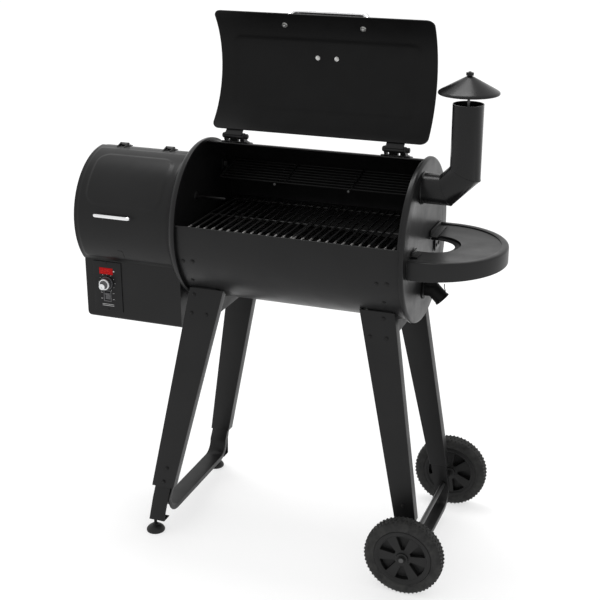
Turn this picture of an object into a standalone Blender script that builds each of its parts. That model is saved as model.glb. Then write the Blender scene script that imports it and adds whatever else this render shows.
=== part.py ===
"""Pellet smoker grill: a barrel cooker with a pellet hopper, on four legs, two of them wheeled.

Every shape is worked out in the barrel's frame: X along the barrel from the hopper to the
side shelf, -Y towards the cook, Z up from the floor, and X = 0 at the middle of the barrel.
The whole grill then hangs on one empty that puts the middle of its footprint at the origin.
"""

import math

import bmesh
import bpy
from mathutils import Matrix, Vector

# Driving dimensions, in metres
FRAME_SHIFT_X = 0.04375       # barrel centre from the middle of the footprint
GAP = 0.0003                  # clearance between faces that touch
SHEET = 0.0025                # body sheet metal

AXIS_Z = 0.8127               # height of the barrel's axis
BARREL_R = 0.190              # outside radius of the barrel shell
BARREL_LEFT = -0.289          # ends of the shell, inside the caps
BARREL_RIGHT = 0.2825
OPENING_REAR = 84.0           # angles of the opening's edges, degrees from +Y towards +Z
OPENING_FRONT = 171.4
CAP_R = 0.198                 # end cap's rim
LEFT_CAP = {"side": -1, "rim": 0.277, "face": 0.298, "fillet": 0.018}
RIGHT_CAP = {"side": 1, "rim": 0.276, "face": 0.286, "fillet": 0.007}

LID_R = 0.194                 # outside radius of the lid
LID_LEFT = -0.2755
LID_RIGHT = 0.2725
LID_REAR = 84.2               # angles of its edges when shut
LID_FRONT = 178.0
LID_PIN_Y = 0.030
LID_PIN_Z = 1.0175
LID_SWING = 136.4             # from fully open to shut, degrees
HINGE_LEFT = -0.214
HINGE_RIGHT = 0.196
HANDLE_HALF = 0.098
HANDLE_ANGLE = 167.5
HANDLE_REACH = 0.048

GRATE_Z = 0.823
GRATE_FRONT = -0.165
GRATE_REAR = 0.160
ROD = 0.005
ROD_PITCH = 0.020
RACK_Z = 0.904                # front edge of the warming rack
RACK_FRONT = 0.042
RACK_DEPTH = 0.101
RACK_TILT = 14.0

HOPPER_R = 0.157
HOPPER_LEFT = -0.568
HOPPER_RIGHT = -0.303
HOPPER_BOX_HALF = 0.119
HOPPER_FLOOR = 0.551
HOPPER_PIN_Y = 0.012
HOPPER_PIN_Z = 0.9755

AUGER_Z = 0.672
AUGER_TUBE_R = 0.022
POT_R = 0.045
FAN_Y = 0.060
FAN_Z = 0.700

PANEL_LEFT = -0.545
PANEL_RIGHT = -0.466
PANEL_LOW = 0.572
PANEL_HIGH = 0.704
DIAL_X = -0.507
DIAL_Z = 0.648

LEG_TOP_Z = 0.674
LEG_TOP_Y = -0.131
FRONT_FLANGE = 0.026
LEG_FLANGE = 0.028
BAR_FLANGE = 0.0135           # flanges of the bars that join the legs
LEFT_LEG = {"top_x": -0.2255, "low_x": -0.339, "low_y": -0.191, "low_z": 0.1325,
            "top_w": 0.089, "low_w": 0.060}
RIGHT_LEG = {"top_x": 0.208, "low_x": 0.302, "low_y": -0.166, "low_z": 0.152,
             "top_w": 0.086, "low_w": 0.0525}
REAR_TRIM = 0.007             # rear legs are this much narrower, on the hopper side
SADDLE_LOW = 0.603

WHEEL_R = 0.097
WHEEL_X = 0.320
WHEEL_Y = 0.229
WHEEL_HALF = 0.021
AXLE_R = 0.006
FOOT_X = -0.364
BRACKET_X = -0.352
FOOT_Y = 0.202
FOOT_R = 0.024

SHELF_X = 0.3145              # centre of the shelf's round end
SHELF_R = 0.166
SHELF_TOP = 0.810
SHELF_DROP = 0.042
CUP_X = 0.305
CUP_Y = -0.010
CUP_R = 0.052

CHIMNEY_Y = -0.040
CHIMNEY_X = 0.3812
CHIMNEY_R = 0.035
CHIMNEY_LOW = 0.951
CHIMNEY_TOP = 1.1515
CHIMNEY_CAP_R = 0.0685
CHIMNEY_CAP_Z = 1.178

DRAIN_Z = 0.694
DRAIN_R = 0.018

MATERIALS = {
    "black_powder": ((0.022, 0.022, 0.023), 0.42, 0.3),
    "black_enamel": ((0.014, 0.014, 0.015), 0.3, 0.2),
    "chrome": ((0.75, 0.75, 0.76), 0.16, 1.0),
    "steel": ((0.36, 0.36, 0.37), 0.34, 1.0),
    "black_plastic": ((0.018, 0.018, 0.019), 0.5, 0.0),
    "dial_silver": ((0.62, 0.62, 0.63), 0.3, 0.8),
    "red_display": ((0.55, 0.02, 0.02), 0.25, 0.0),
    "rubber": ((0.016, 0.016, 0.016), 0.75, 0.0),
}


def clear_scene():
    for item in list(bpy.data.objects):
        bpy.data.objects.remove(item, do_unlink=True)


def material(name):
    found = bpy.data.materials.get(name)
    if found:
        return found
    colour, roughness, metallic = MATERIALS[name]
    made = bpy.data.materials.new(name)
    made.use_nodes = True
    shader = made.node_tree.nodes["Principled BSDF"]
    shader.inputs["Base Color"].default_value = (*colour, 1.0)
    shader.inputs["Roughness"].default_value = roughness
    shader.inputs["Metallic"].default_value = metallic
    return made


def place(name, bm, finish, origin=(0, 0, 0), smooth=False):
    """Turn a bmesh made in the barrel's frame into an object whose origin is at origin."""
    bmesh.ops.remove_doubles(bm, verts=bm.verts, dist=1e-6)
    bmesh.ops.recalc_face_normals(bm, faces=bm.faces)
    bmesh.ops.translate(bm, verts=bm.verts, vec=-Vector(origin))
    mesh = bpy.data.meshes.new(name)
    bm.to_mesh(mesh)
    bm.free()
    if smooth:
        mesh.shade_smooth()
        mesh.set_sharp_from_angle(angle=math.radians(35))
    item = bpy.data.objects.new(name, mesh)
    bpy.context.scene.collection.objects.link(item)
    item.parent = bpy.data.objects["grill_origin"]
    item.location = origin
    mesh.materials.append(material(finish))
    return item


def tool(name, bm, origin=(0, 0, 0)):
    """A shape that only cuts or joins other shapes."""
    item = place(name, bm, "steel", origin)
    item.hide_render = True
    item.display_type = "WIRE"
    return item


def combine(target, tools, operation):
    for number, other in enumerate(tools):
        step = target.modifiers.new(f"{operation.lower()}_{number}", "BOOLEAN")
        step.operation = operation
        step.solver = "EXACT"
        step.object = other


def cut(target, *shapes):
    cutters = [tool(f"{target.name}_cut_{n}", bm) for n, bm in enumerate(shapes)]
    combine(target, cutters, "DIFFERENCE")


def fuse(target, *shapes):
    added = [tool(f"{target.name}_add_{n}", bm) for n, bm in enumerate(shapes)]
    combine(target, added, "UNION")


# Basic shapes, each a bmesh in the barrel's frame

def axis_point(axis, a, b, along):
    """A point from two coordinates across an axis and one along it."""
    if axis == "x":
        return Vector((along, a, b))
    if axis == "y":
        return Vector((a, along, b))
    return Vector((a, b, along))


def prism(outline, axis, low, high):
    bm = bmesh.new()
    near = [bm.verts.new(axis_point(axis, a, b, low)) for a, b in outline]
    far = [bm.verts.new(axis_point(axis, a, b, high)) for a, b in outline]
    bm.faces.new(near)
    bm.faces.new(list(reversed(far)))
    for n in range(len(outline)):
        m = (n + 1) % len(outline)
        bm.faces.new((near[n], near[m], far[m], far[n]))
    return bm


def block(low, high):
    outline = [(low[0], low[1]), (high[0], low[1]), (high[0], high[1]), (low[0], high[1])]
    return prism(outline, "z", low[2], high[2])


def arc(centre, radius, start, end, steps):
    """Points on an arc, angles in degrees, both ends included."""
    points = []
    for n in range(steps + 1):
        angle = math.radians(start + (end - start) * n / steps)
        points.append((centre[0] + radius * math.cos(angle), centre[1] + radius * math.sin(angle)))
    return points


def disc(axis, centre, radius, low, high, steps=24):
    """A short cylinder, turned a little so that its corners miss its neighbours' edges."""
    first = 100 / steps
    return prism(arc(centre, radius, first, first + 360 - 360 / steps, steps - 1), axis, low, high)


def turned(profile, axis, centre, steps=32, start=0.0, end=360.0):
    """Turn a closed (radius, along) outline about an axis through centre."""
    bm = bmesh.new()
    full = abs(end - start) >= 360
    count = steps if full else steps + 1
    rings = []
    on_axis = {}
    for n in range(count):
        angle = math.radians(start + (end - start) * n / steps)
        ring = []
        for index, (radius, along) in enumerate(profile):
            if radius < 1e-9 and index in on_axis:
                ring.append(on_axis[index])
                continue
            a = centre[0] + radius * math.cos(angle)
            b = centre[1] + radius * math.sin(angle)
            vert = bm.verts.new(axis_point(axis, a, b, along))
            if radius < 1e-9:
                on_axis[index] = vert
            ring.append(vert)
        rings.append(ring)
    for n in range(steps):
        here, there = rings[n], rings[(n + 1) % count]
        for i in range(len(profile)):
            j = (i + 1) % len(profile)
            corners = list(dict.fromkeys((here[i], here[j], there[j], there[i])))
            if len(corners) > 2:
                bm.faces.new(corners)
    if not full:
        bm.faces.new(rings[0])
        bm.faces.new(list(reversed(rings[-1])))
    return bm


def pipe(path, outer, inner=0.0, steps=16):
    """A tube, or a rod if inner is 0, along points joined by mitres."""
    points = [Vector(p) for p in path]
    bm = bmesh.new()
    ways = [(b - a).normalized() for a, b in zip(points, points[1:])]
    side = ways[0].orthogonal().normalized()
    walls = []
    for n, point in enumerate(points):
        before = ways[max(n - 1, 0)]
        after = ways[min(n, len(ways) - 1)]
        cross = (before + after).normalized()
        if n:
            side = (side - side.dot(before) * before).normalized()
        up = before.cross(side)
        rings = []
        for radius in (outer, inner):
            ring = []
            for k in range(steps if radius else 0):
                angle = 2 * math.pi * k / steps
                offset = radius * (math.cos(angle) * side + math.sin(angle) * up)
                offset -= before * (offset.dot(cross) / before.dot(cross))
                ring.append(bm.verts.new(point + offset))
            rings.append(ring)
        walls.append(rings)
    for here, there in zip(walls, walls[1:]):
        for a, b in zip(here, there):
            for k in range(len(a)):
                m = (k + 1) % len(a)
                bm.faces.new((a[k], a[m], b[m], b[k]))
    for outside, inside in (walls[0], walls[-1]):
        if not inside:
            bm.faces.new(outside)
            continue
        for k in range(steps):
            m = (k + 1) % steps
            bm.faces.new((outside[k], outside[m], inside[m], inside[k]))
    return bm


def formed(stations, sections):
    """A pressed strip: each station is a centre and an outward normal across the strip.

    A section is a closed outline of (across, out) points; across always runs along X.
    """
    bm = bmesh.new()
    rings = []
    for (centre, out), section in zip(stations, sections):
        base = Vector(centre)
        normal = Vector((0, *out))
        rings.append([bm.verts.new(base + Vector((a, 0, 0)) + b * normal) for a, b in section])
    for here, there in zip(rings, rings[1:]):
        for i in range(len(here)):
            j = (i + 1) % len(here)
            bm.faces.new((here[i], here[j], there[j], there[i]))
    bm.faces.new(rings[0])
    bm.faces.new(list(reversed(rings[-1])))
    return bm


def grid_plate(xs, ys, solid, low, high):
    """A flat plate made of the cells for which solid(column, row) is true."""
    bm = bmesh.new()
    verts = {}

    def corner(i, j, z):
        if (i, j, z) not in verts:
            verts[i, j, z] = bm.verts.new((xs[i], ys[j], z))
        return verts[i, j, z]

    def filled(i, j):
        return 0 <= i < len(xs) - 1 and 0 <= j < len(ys) - 1 and solid(i, j)

    for i in range(len(xs) - 1):
        for j in range(len(ys) - 1):
            if not filled(i, j):
                continue
            loop = ((i, j), (i + 1, j), (i + 1, j + 1), (i, j + 1))
            bm.faces.new([corner(a, b, high) for a, b in loop])
            bm.faces.new([corner(a, b, low) for a, b in reversed(loop)])
            for n, (di, dj) in enumerate(((0, -1), (1, 0), (0, 1), (-1, 0))):
                if not filled(i + di, j + dj):
                    (a, b), (c, d) = loop[n], loop[(n + 1) % 4]
                    bm.faces.new((corner(a, b, low), corner(c, d, low),
                                  corner(c, d, high), corner(a, b, high)))
    return bm


def swung(bm, y, z, degrees):
    """Turn a bmesh about the line along X through (y, z)."""
    matrix = Matrix.Rotation(math.radians(degrees), 4, "X")
    bmesh.ops.rotate(bm, verts=bm.verts, cent=(0, y, z), matrix=matrix)
    return bm


# Barrel

def top_of(radius, y):
    """Height of the upper side of a cylinder about the barrel's axis."""
    return AXIS_Z + math.sqrt(radius ** 2 - y ** 2)


def bottom_of(radius, y):
    return AXIS_Z - math.sqrt(radius ** 2 - y ** 2)


def bent_sheet(radius, start, end, left, right, steps):
    centre = (0, AXIS_Z)
    outline = arc(centre, radius, start, end, steps)
    outline += arc(centre, radius - SHEET, end, start, steps)
    return prism(outline, "x", left, right)


def barrel_shell():
    sheet = bent_sheet(BARREL_R, OPENING_FRONT, 360 + OPENING_REAR, BARREL_LEFT, BARREL_RIGHT, 44)
    shell = place("barrel_shell", sheet, "black_powder")
    ledge = 0.007
    half = 0.270
    wall = BARREL_R - SHEET / 2
    low = GRATE_Z - GAP - 0.002
    high = GRATE_Z - GAP
    fuse(shell, block((-half, -wall, low), (half, GRATE_FRONT + ledge, high)),
         block((-half, GRATE_REAR - ledge, low), (half, wall, high)),
         rack_arm(-0.115), rack_arm(0.077))


def rack_arm(x):
    """Small arm on the rear wall that the warming rack lies on."""
    slope = math.tan(math.radians(RACK_TILT))
    front, rear = RACK_FRONT + 0.002, 0.149
    outline = [(y, RACK_Z - 3 * GAP + slope * (y - RACK_FRONT)) for y in (front, rear)]
    outline += [(rear + 0.011, outline[1][1] - 0.017), (front, outline[0][1] - 0.006)]
    return prism(outline, "x", x - 0.0015, x + 0.0015)


def end_cap(name, cap):
    """A pressed end: flat disc, rounded edge, and a rim turned in towards the shell."""
    fillet = (CAP_R - cap["fillet"], cap["face"] - cap["fillet"])
    sheet = 0.003
    lip = BARREL_R + 0.001
    profile = [(0, cap["face"])]
    profile += arc(fillet, cap["fillet"], 90, 0, 4)
    profile += [(CAP_R, cap["rim"]), (lip, cap["rim"]), (lip, cap["rim"] + sheet)]
    profile += arc(fillet, cap["fillet"] - sheet, 0, 90, 3)
    profile += [(0, cap["face"] - sheet)]
    profile = [(radius, cap["side"] * along) for radius, along in profile]
    return place(name, turned(profile, "x", (0, AXIS_Z), steps=40), "black_powder", smooth=True)


def end_caps():
    left = end_cap("left_end_cap", LEFT_CAP)
    near, far = -LEFT_CAP["face"] - 0.01, -LEFT_CAP["face"] + 0.02
    cut(left, disc("x", (0, AUGER_Z), AUGER_TUBE_R + GAP, near, far),
        disc("x", (FAN_Y, FAN_Z), 0.0265, near, far))
    right = end_cap("right_end_cap", RIGHT_CAP)
    near, far = RIGHT_CAP["face"] - 0.02, RIGHT_CAP["face"] + 0.01
    cut(right, disc("x", (CHIMNEY_Y, CHIMNEY_LOW), CHIMNEY_R + GAP, near, far, 32),
        disc("x", (0, DRAIN_Z), DRAIN_R + GAP, near, far))


# Lid, drawn shut and then swung open about its hinge pins

def open_lid(bm):
    return swung(bm, LID_PIN_Y, LID_PIN_Z, -LID_SWING)


def lid_point(angle, radius, x):
    turn = math.radians(angle)
    return (x, radius * math.cos(turn), AXIS_Z + radius * math.sin(turn))


def lid():
    pin = (0, LID_PIN_Y, LID_PIN_Z)
    sheet = bent_sheet(LID_R, LID_REAR, LID_FRONT, LID_LEFT, LID_RIGHT, 20)
    place("lid_shell", open_lid(sheet), "black_powder", pin)
    bend = 0.020
    reach = LID_R + HANDLE_REACH
    route = [(LID_R + GAP, HANDLE_HALF), (reach - bend, HANDLE_HALF),
             (reach - bend * 0.3, HANDLE_HALF - bend * 0.3), (reach, HANDLE_HALF - bend)]
    path = [lid_point(HANDLE_ANGLE, radius, -x) for radius, x in route]
    path += [lid_point(HANDLE_ANGLE, radius, x) for radius, x in reversed(route)]
    place("lid_handle", open_lid(pipe(path, 0.0065, steps=10)), "chrome", pin, smooth=True)


def lid_hinge(name, x):
    """Foot with two lugs on the barrel, a leaf with one knuckle on the lid, and a pin."""
    centre = (LID_PIN_Y, LID_PIN_Z)
    knuckle_half, lug_in, lug_out, foot_half = 0.022, 0.0225, 0.0265, 0.035
    front, rear, thick = 0.0275, 0.062, 0.003
    stations = [front + (rear - front) * n / 3 for n in range(4)]
    outline = [(y, top_of(BARREL_R + GAP, y)) for y in stations]
    outline += [(y, top_of(BARREL_R + GAP, y) + thick) for y in reversed(stations)]
    foot = place(f"lid_hinge_base_{name}", prism(outline, "x", x - foot_half, x + foot_half),
                 "black_powder")
    lug = arc(centre, 0.008, 0, 200, 8)
    lug += [(y, top_of(BARREL_R + GAP, y) + thick / 2) for y in (0.0285, 0.054)]
    fuse(foot, prism(lug, "x", x - lug_out, x - lug_in), prism(lug, "x", x + lug_in, x + lug_out))
    cut(foot, disc("x", centre, 0.004 + GAP, x - foot_half, x + foot_half, 16))

    low = top_of(LID_R, 0) + 0.0005
    leaf = turned([(0.0043, x - knuckle_half), (0.008, x - knuckle_half),
                   (0.008, x + knuckle_half), (0.0043, x + knuckle_half)], "x", centre, 20)
    plate = block((x - knuckle_half, -0.012, low), (x + knuckle_half, 0.034, low + 0.003))
    pin = (x, LID_PIN_Y, LID_PIN_Z)
    item = place(f"lid_hinge_leaf_{name}", open_lid(leaf), "black_powder", pin)
    fuse(item, open_lid(plate))

    head = lug_out + GAP
    end = head + 0.0045
    profile = [(0, x - end), (0.005, x - end), (0.0065, x - end + 0.0015), (0.0065, x - head),
               (0.004, x - head), (0.004, x + head), (0.0065, x + head), (0.0065, x + end - 0.0015),
               (0.005, x + end), (0, x + end)]
    place(f"lid_hinge_pin_{name}", turned(profile, "x", centre, 12), "steel", smooth=True)


# Inside the barrel

def rod_grid(left, right, rod, pitch):
    """Edges of the rods and gaps between two ends, rods first and last."""
    gaps = max(1, round((right - left - rod) / pitch))
    step = (right - left - rod) / gaps
    edges = []
    for n in range(gaps + 1):
        edges += [left + n * step, left + n * step + rod]
    return edges


def grill_grid(left, right, front, rear, rod, pitch, low, bars=2):
    xs = rod_grid(left, right, rod, pitch)
    ys = rod_grid(front, rear, rod, (rear - front) / (bars - 1))
    return grid_plate(xs, ys, lambda i, j: i % 2 == 0 or j % 2 == 0, low, low + rod)


def grates():
    half = 0.268
    middle = 0.001
    for name, left, right in (("left", -half, -middle), ("right", middle, half)):
        grid = grill_grid(left, right, GRATE_FRONT, GRATE_REAR, ROD, ROD_PITCH, GRATE_Z)
        place(f"cooking_grate_{name}", grid, "black_enamel")
    rear = RACK_FRONT + RACK_DEPTH
    xs = rod_grid(-0.262, 0.262, 0.004, 0.173)
    ys = rod_grid(RACK_FRONT, rear, 0.004, 0.0139)
    rack = grid_plate(xs, ys, lambda i, j: i % 2 == 0 or j % 2 == 0, RACK_Z, RACK_Z + 0.004)
    place("warming_rack", swung(rack, RACK_FRONT, RACK_Z, RACK_TILT), "black_enamel")


def grease_tray():
    """A shallow trough that falls towards the drain."""
    front, rear, thick = -0.150, 0.120, 0.002
    bm = bmesh.new()
    rings = []
    for x, edge, middle in ((-0.262, 0.792, 0.764), (0.270, 0.765, 0.737)):
        section = [(front, edge), (0, middle), (rear, edge)]
        section += [(y, z - thick) for y, z in reversed(section)]
        rings.append([bm.verts.new((x, y, z)) for y, z in section])
    for i in range(6):
        j = (i + 1) % 6
        bm.faces.new((rings[0][i], rings[0][j], rings[1][j], rings[1][i]))
    bm.faces.new(rings[0])
    bm.faces.new(list(reversed(rings[1])))
    place("grease_tray", bm, "steel")


def firebox():
    half, depth, top, sheet = 0.090, 0.014, 0.729, 0.002
    outline = [(-half, top), (half, top), (half, top - depth), (half - sheet, top - depth),
               (half - sheet, top - sheet), (-half + sheet, top - sheet),
               (-half + sheet, top - depth), (-half, top - depth)]
    place("heat_baffle", prism(outline, "x", -0.110, 0.110), "steel")
    low, high = 0.634, 0.710
    profile = [(0, low), (POT_R, low), (POT_R, high), (POT_R - SHEET, high),
               (POT_R - SHEET, low + SHEET), (0, low + SHEET)]
    pot = place("fire_pot", turned(profile, "z", (0, 0), 28), "steel", smooth=True)
    rod_z = 0.650
    cut(pot, disc("x", (0, AUGER_Z), 0.0195, -0.06, -0.02), disc("x", (0, rod_z), 0.0055, 0.02, 0.06, 12))
    place("igniter_rod", disc("x", (0, rod_z), 0.005, 0.018, 0.110, 12), "steel", smooth=True)
    place("temperature_probe", disc("x", (-0.03, 0.872), 0.003, -0.2945, -0.215, 10), "steel", smooth=True)


def auger():
    """Feed screw in its tube, from the bin's throat to the fire pot."""
    start, end = -0.500, -POT_R - 0.0006
    tube = place("auger_tube", pipe([(start, 0, AUGER_Z), (end, 0, AUGER_Z)], AUGER_TUBE_R, 0.0205, 24),
                 "steel", smooth=True)
    cut(tube, block((-0.448, -0.014, AUGER_Z + 0.010), (-0.392, 0.014, AUGER_Z + 0.03)))
    flight, root, half, pitch, per_turn = 0.0185, 0.006, 0.002, 0.056, 8
    turns = 8
    section = [(flight, -half), (flight, half)]
    section += [(root * math.cos(math.radians(a)), root * math.sin(math.radians(a)))
                for a in (50, 115, 180, 245, 310)]
    bm = bmesh.new()
    rings = []
    first = start + 0.004
    for n in range(turns * per_turn + 1):
        angle = 2 * math.pi * n / per_turn
        x = first + pitch * n / per_turn
        rings.append([bm.verts.new((x, a * math.cos(angle) - b * math.sin(angle),
                                    AUGER_Z + a * math.sin(angle) + b * math.cos(angle)))
                      for a, b in section])
    for here, there in zip(rings, rings[1:]):
        for i in range(len(section)):
            j = (i + 1) % len(section)
            if i == len(section) - 1:
                bm.faces.new((here[i], here[j], there[i]))
                bm.faces.new((here[j], there[j], there[i]))
            else:
                bm.faces.new((here[i], here[j], there[j]))
                bm.faces.new((here[i], there[j], there[i]))
    bm.faces.new(rings[0])
    bm.faces.new(list(reversed(rings[-1])))
    screw = place("auger_screw", bm, "steel", (start, 0, AUGER_Z))
    fuse(screw, disc("x", (0, AUGER_Z), 0.0045, -0.5245, first + 0.01, 12))
    place("auger_motor", block((-0.558, -0.030, 0.642), (-0.525, 0.030, 0.704)), "steel")


def fan():
    back, front, half, bore = -0.333, -0.309, 0.030, 0.0265
    frame = place("fan_frame", block((back, FAN_Y - half, FAN_Z - half), (front, FAN_Y + half, FAN_Z + half)),
                  "black_plastic")
    cut(frame, disc("x", (FAN_Y, FAN_Z), bore, back + 0.002, front + 0.01),
        block((back - 0.01, FAN_Y - 0.020, FAN_Z + 0.003), (back + 0.01, FAN_Y + 0.020, FAN_Z + 0.018)),
        block((back - 0.01, FAN_Y - 0.020, FAN_Z - 0.018), (back + 0.01, FAN_Y + 0.020, FAN_Z - 0.003)))
    near, far = back + 0.0025, front - 0.003
    rotor = place("fan_rotor", disc("x", (FAN_Y, FAN_Z), 0.011, near, far, 15), "black_plastic",
                  (near, FAN_Y, FAN_Z))
    blades = []
    for n in range(5):
        blade = block((near + 0.003, FAN_Y + 0.009, FAN_Z - 0.001), (far - 0.003, FAN_Y + 0.025, FAN_Z + 0.001))
        middle = ((near + far) / 2, FAN_Y, FAN_Z)
        bmesh.ops.rotate(blade, verts=blade.verts, cent=middle, matrix=Matrix.Rotation(0.6, 4, "Y"))
        bmesh.ops.rotate(blade, verts=blade.verts, cent=middle,
                         matrix=Matrix.Rotation(2 * math.pi * n / 5, 4, "X"))
        blades.append(blade)
    fuse(rotor, *blades)


# Hopper

def hopper_outline(radius, half, floor, corner):
    """Keyhole outline: a round top on a narrower box with rounded lower corners."""
    meet = math.degrees(math.asin(math.sqrt(radius ** 2 - half ** 2) / radius))
    outline = arc((0, AXIS_Z), radius, -meet, 180 + meet, 34)
    outline += arc((-half + corner, floor + corner), corner, 180, 270, 3)
    outline += arc((half - corner, floor + corner), corner, 270, 360, 3)
    return outline


def hopper_housing():
    outer = hopper_outline(HOPPER_R, HOPPER_BOX_HALF, HOPPER_FLOOR, 0.008)
    inner = hopper_outline(HOPPER_R - SHEET, HOPPER_BOX_HALF - SHEET, HOPPER_FLOOR + SHEET, 0.006)
    left, right = HOPPER_LEFT + SHEET, HOPPER_RIGHT - SHEET
    housing = place("hopper_housing", prism(outer, "x", HOPPER_LEFT, HOPPER_RIGHT), "black_powder")
    centre = (0, AXIS_Z)
    mouth = arc(centre, HOPPER_R + 0.02, 90, 219, 14) + arc(centre, HOPPER_R - 0.03, 219, 90, 14)
    margin = 0.004
    wall = -HOPPER_BOX_HALF
    cut(housing, prism(inner, "x", left, right), prism(mouth, "x", left + 0.0006, right - 0.0006),
        block((PANEL_LEFT + margin, wall - 0.01, PANEL_LOW + margin),
              (PANEL_RIGHT - margin, wall + 0.01, PANEL_HIGH - margin)),
        block((-0.4555, -wall - 0.01, 0.5915), (-0.4245, -wall + 0.01, 0.6145)),
        disc("x", (0, AUGER_Z), AUGER_TUBE_R + GAP, right - 0.01, HOPPER_RIGHT + 0.01),
        disc("x", (FAN_Y, FAN_Z), 0.0255, right - 0.01, HOPPER_RIGHT + 0.01))


def hopper_lid():
    pin = (0, HOPPER_PIN_Y, HOPPER_PIN_Z)
    radius = HOPPER_R + 0.0008 + SHEET
    sheet = bent_sheet(radius, 89, 220, HOPPER_LEFT, HOPPER_RIGHT, 22)
    cover = place("hopper_lid", sheet, "black_powder", pin)
    ears = []
    ear = arc(pin[1:], 0.005, -40, 130, 6) + [(-0.010, top_of(radius, 0.010) + 0.001),
                                              (-0.010, top_of(radius, 0.010) - 0.001),
                                              (0.004, top_of(radius, 0) - 0.001)]
    for x in hopper_hinge_places():
        for side in (-1, 1):
            near, far = sorted((x + side * 0.0085, x + side * 0.0115))
            ears.append(prism(ear, "x", near, far))
    fuse(cover, *ears)
    cut(cover, disc("x", pin[1:], 0.0026, HOPPER_LEFT, HOPPER_RIGHT, 12))
    angle, half, bend, reach = 171.0, 0.047, 0.006, radius + 0.016
    middle = -0.456
    route = [(radius + GAP, half), (reach - bend, half), (reach, half - bend)]
    path = [lid_point(angle, r, middle - x) for r, x in route]
    path += [lid_point(angle, r, middle + x) for r, x in reversed(route)]
    place("hopper_lid_handle", pipe(path, 0.0045, steps=10), "chrome", smooth=True)


def hopper_hinge_places():
    return (-0.510, -0.382)


def hopper_hinges():
    pin = (HOPPER_PIN_Y, HOPPER_PIN_Z)
    lift = 0.0005
    ys = (0.012, 0.020, 0.030, 0.040)
    strap = [(y, top_of(HOPPER_R, y) + lift) for y in ys]
    strap += [(y, top_of(HOPPER_R, y) + lift + 0.0028) for y in reversed(ys[1:])]
    strap += [(0.0145, HOPPER_PIN_Z - 0.001)]
    for name, x in zip(("left", "right"), hopper_hinge_places()):
        hinge = place(f"hopper_hinge_{name}", disc("x", pin, 0.005, x - 0.008, x + 0.008, 16), "steel")
        fuse(hinge, disc("x", pin, 0.0022, x - 0.0125, x + 0.0125, 12),
             prism(strap, "x", x - 0.008, x + 0.008))


def funnel(top, throat, high, low, sheet):
    """Open square funnel; top and throat are (left, right, half width)."""
    bm = bmesh.new()
    loops = []
    for (left, right, half), z in ((top, high), (throat, low)):
        for inset in (0, sheet):
            loops.append([bm.verts.new((x, y, z)) for x, y in (
                (left + inset, -half + inset), (right - inset, -half + inset),
                (right - inset, half - inset), (left + inset, half - inset))])
    top_out, top_in, low_out, low_in = loops
    for a, b in ((top_out, top_in), (top_in, low_in), (low_in, low_out), (low_out, top_out)):
        for i in range(4):
            j = (i + 1) % 4
            bm.faces.new((a[i], a[j], b[j], b[i]))
    return bm


def pellet_bin():
    bin_top = (-0.560, -0.312, 0.143)
    throat = (-0.450, -0.390, 0.018)
    place("pellet_bin", funnel(bin_top, throat, 0.815, 0.695, SHEET), "steel")
    guard = grill_grid(-0.472, -0.380, -0.042, 0.042, 0.003, 0.018, 0.736)
    place("hopper_guard", guard, "steel")


# Controls

def control_box():
    face = -HOPPER_BOX_HALF - 0.0005
    front = face - 0.002
    box = place("control_box", block((PANEL_LEFT, front, PANEL_LOW), (PANEL_RIGHT, face, PANEL_HIGH)),
                "black_plastic")
    edge = 0.005
    fuse(box, block((PANEL_LEFT + edge, face - 0.001, PANEL_LOW + edge),
                    (PANEL_RIGHT - edge, -0.085, PANEL_HIGH - edge)))
    window = ((-0.528, 0.670), (-0.490, 0.687))
    switch = ((-0.516, 0.6000), (-0.499, 0.6250))
    clear = GAP
    cut(box, block((window[0][0] - clear, front - 0.01, window[0][1] - clear),
                   (window[1][0] + clear, front + 0.004, window[1][1] + clear)),
        block((switch[0][0], front - 0.01, switch[0][1]), (switch[1][0], front + 0.017, switch[1][1])))
    place("display_window", block((window[0][0], front, window[0][1]),
                                  (window[1][0], front + 0.0037, window[1][1])), "red_display")
    base = front - 0.0005
    profile = [(0, base), (0.0175, base), (0.0175, base - 0.004), (0.0150, base - 0.006),
               (0.0135, base - 0.017), (0.0125, base - 0.018), (0, base - 0.018)]
    place("temperature_dial", turned(profile, "y", (DIAL_X, DIAL_Z), 24), "dial_silver",
          (DIAL_X, base, DIAL_Z), smooth=True)
    pivot = (front + 0.003, 0.6125)
    shape = ((-0.0045, 0.0092), (-0.0020, 0), (-0.0045, -0.0092), (0.0050, -0.0085), (0.0050, 0.0085))
    outline = [(pivot[0] + y, pivot[1] + z) for y, z in shape]
    rocker = swung(prism(outline, "x", -0.5145, -0.5005), *pivot, 10)
    place("power_switch", rocker, "black_plastic", (-0.5075, *pivot))


def power_inlet():
    wall = HOPPER_BOX_HALF
    inlet = place("power_inlet", block((-0.460, wall + 0.0005, 0.587), (-0.420, wall + 0.0025, 0.619)),
                  "black_plastic")
    fuse(inlet, block((-0.455, 0.096, 0.592), (-0.425, wall + 0.001, 0.614)))
    cut(inlet, block((-0.451, 0.102, 0.596), (-0.429, wall + 0.01, 0.610)))


# Legs, feet and wheels

def leg_at(leg, z):
    """Middle and outer face of a leg, and its width, at a height."""
    share = (LEG_TOP_Z - z) / (LEG_TOP_Z - leg["low_z"])
    x = leg["top_x"] + share * (leg["low_x"] - leg["top_x"])
    y = LEG_TOP_Y + share * (leg["low_y"] - LEG_TOP_Y)
    return x, y, leg["top_w"] + share * (leg["low_w"] - leg["top_w"])


def rear_leg(leg):
    moved = dict(leg)
    for end in ("top", "low"):
        moved[f"{end}_x"] += REAR_TRIM / 2
        moved[f"{end}_w"] -= REAR_TRIM
    return moved


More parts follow.
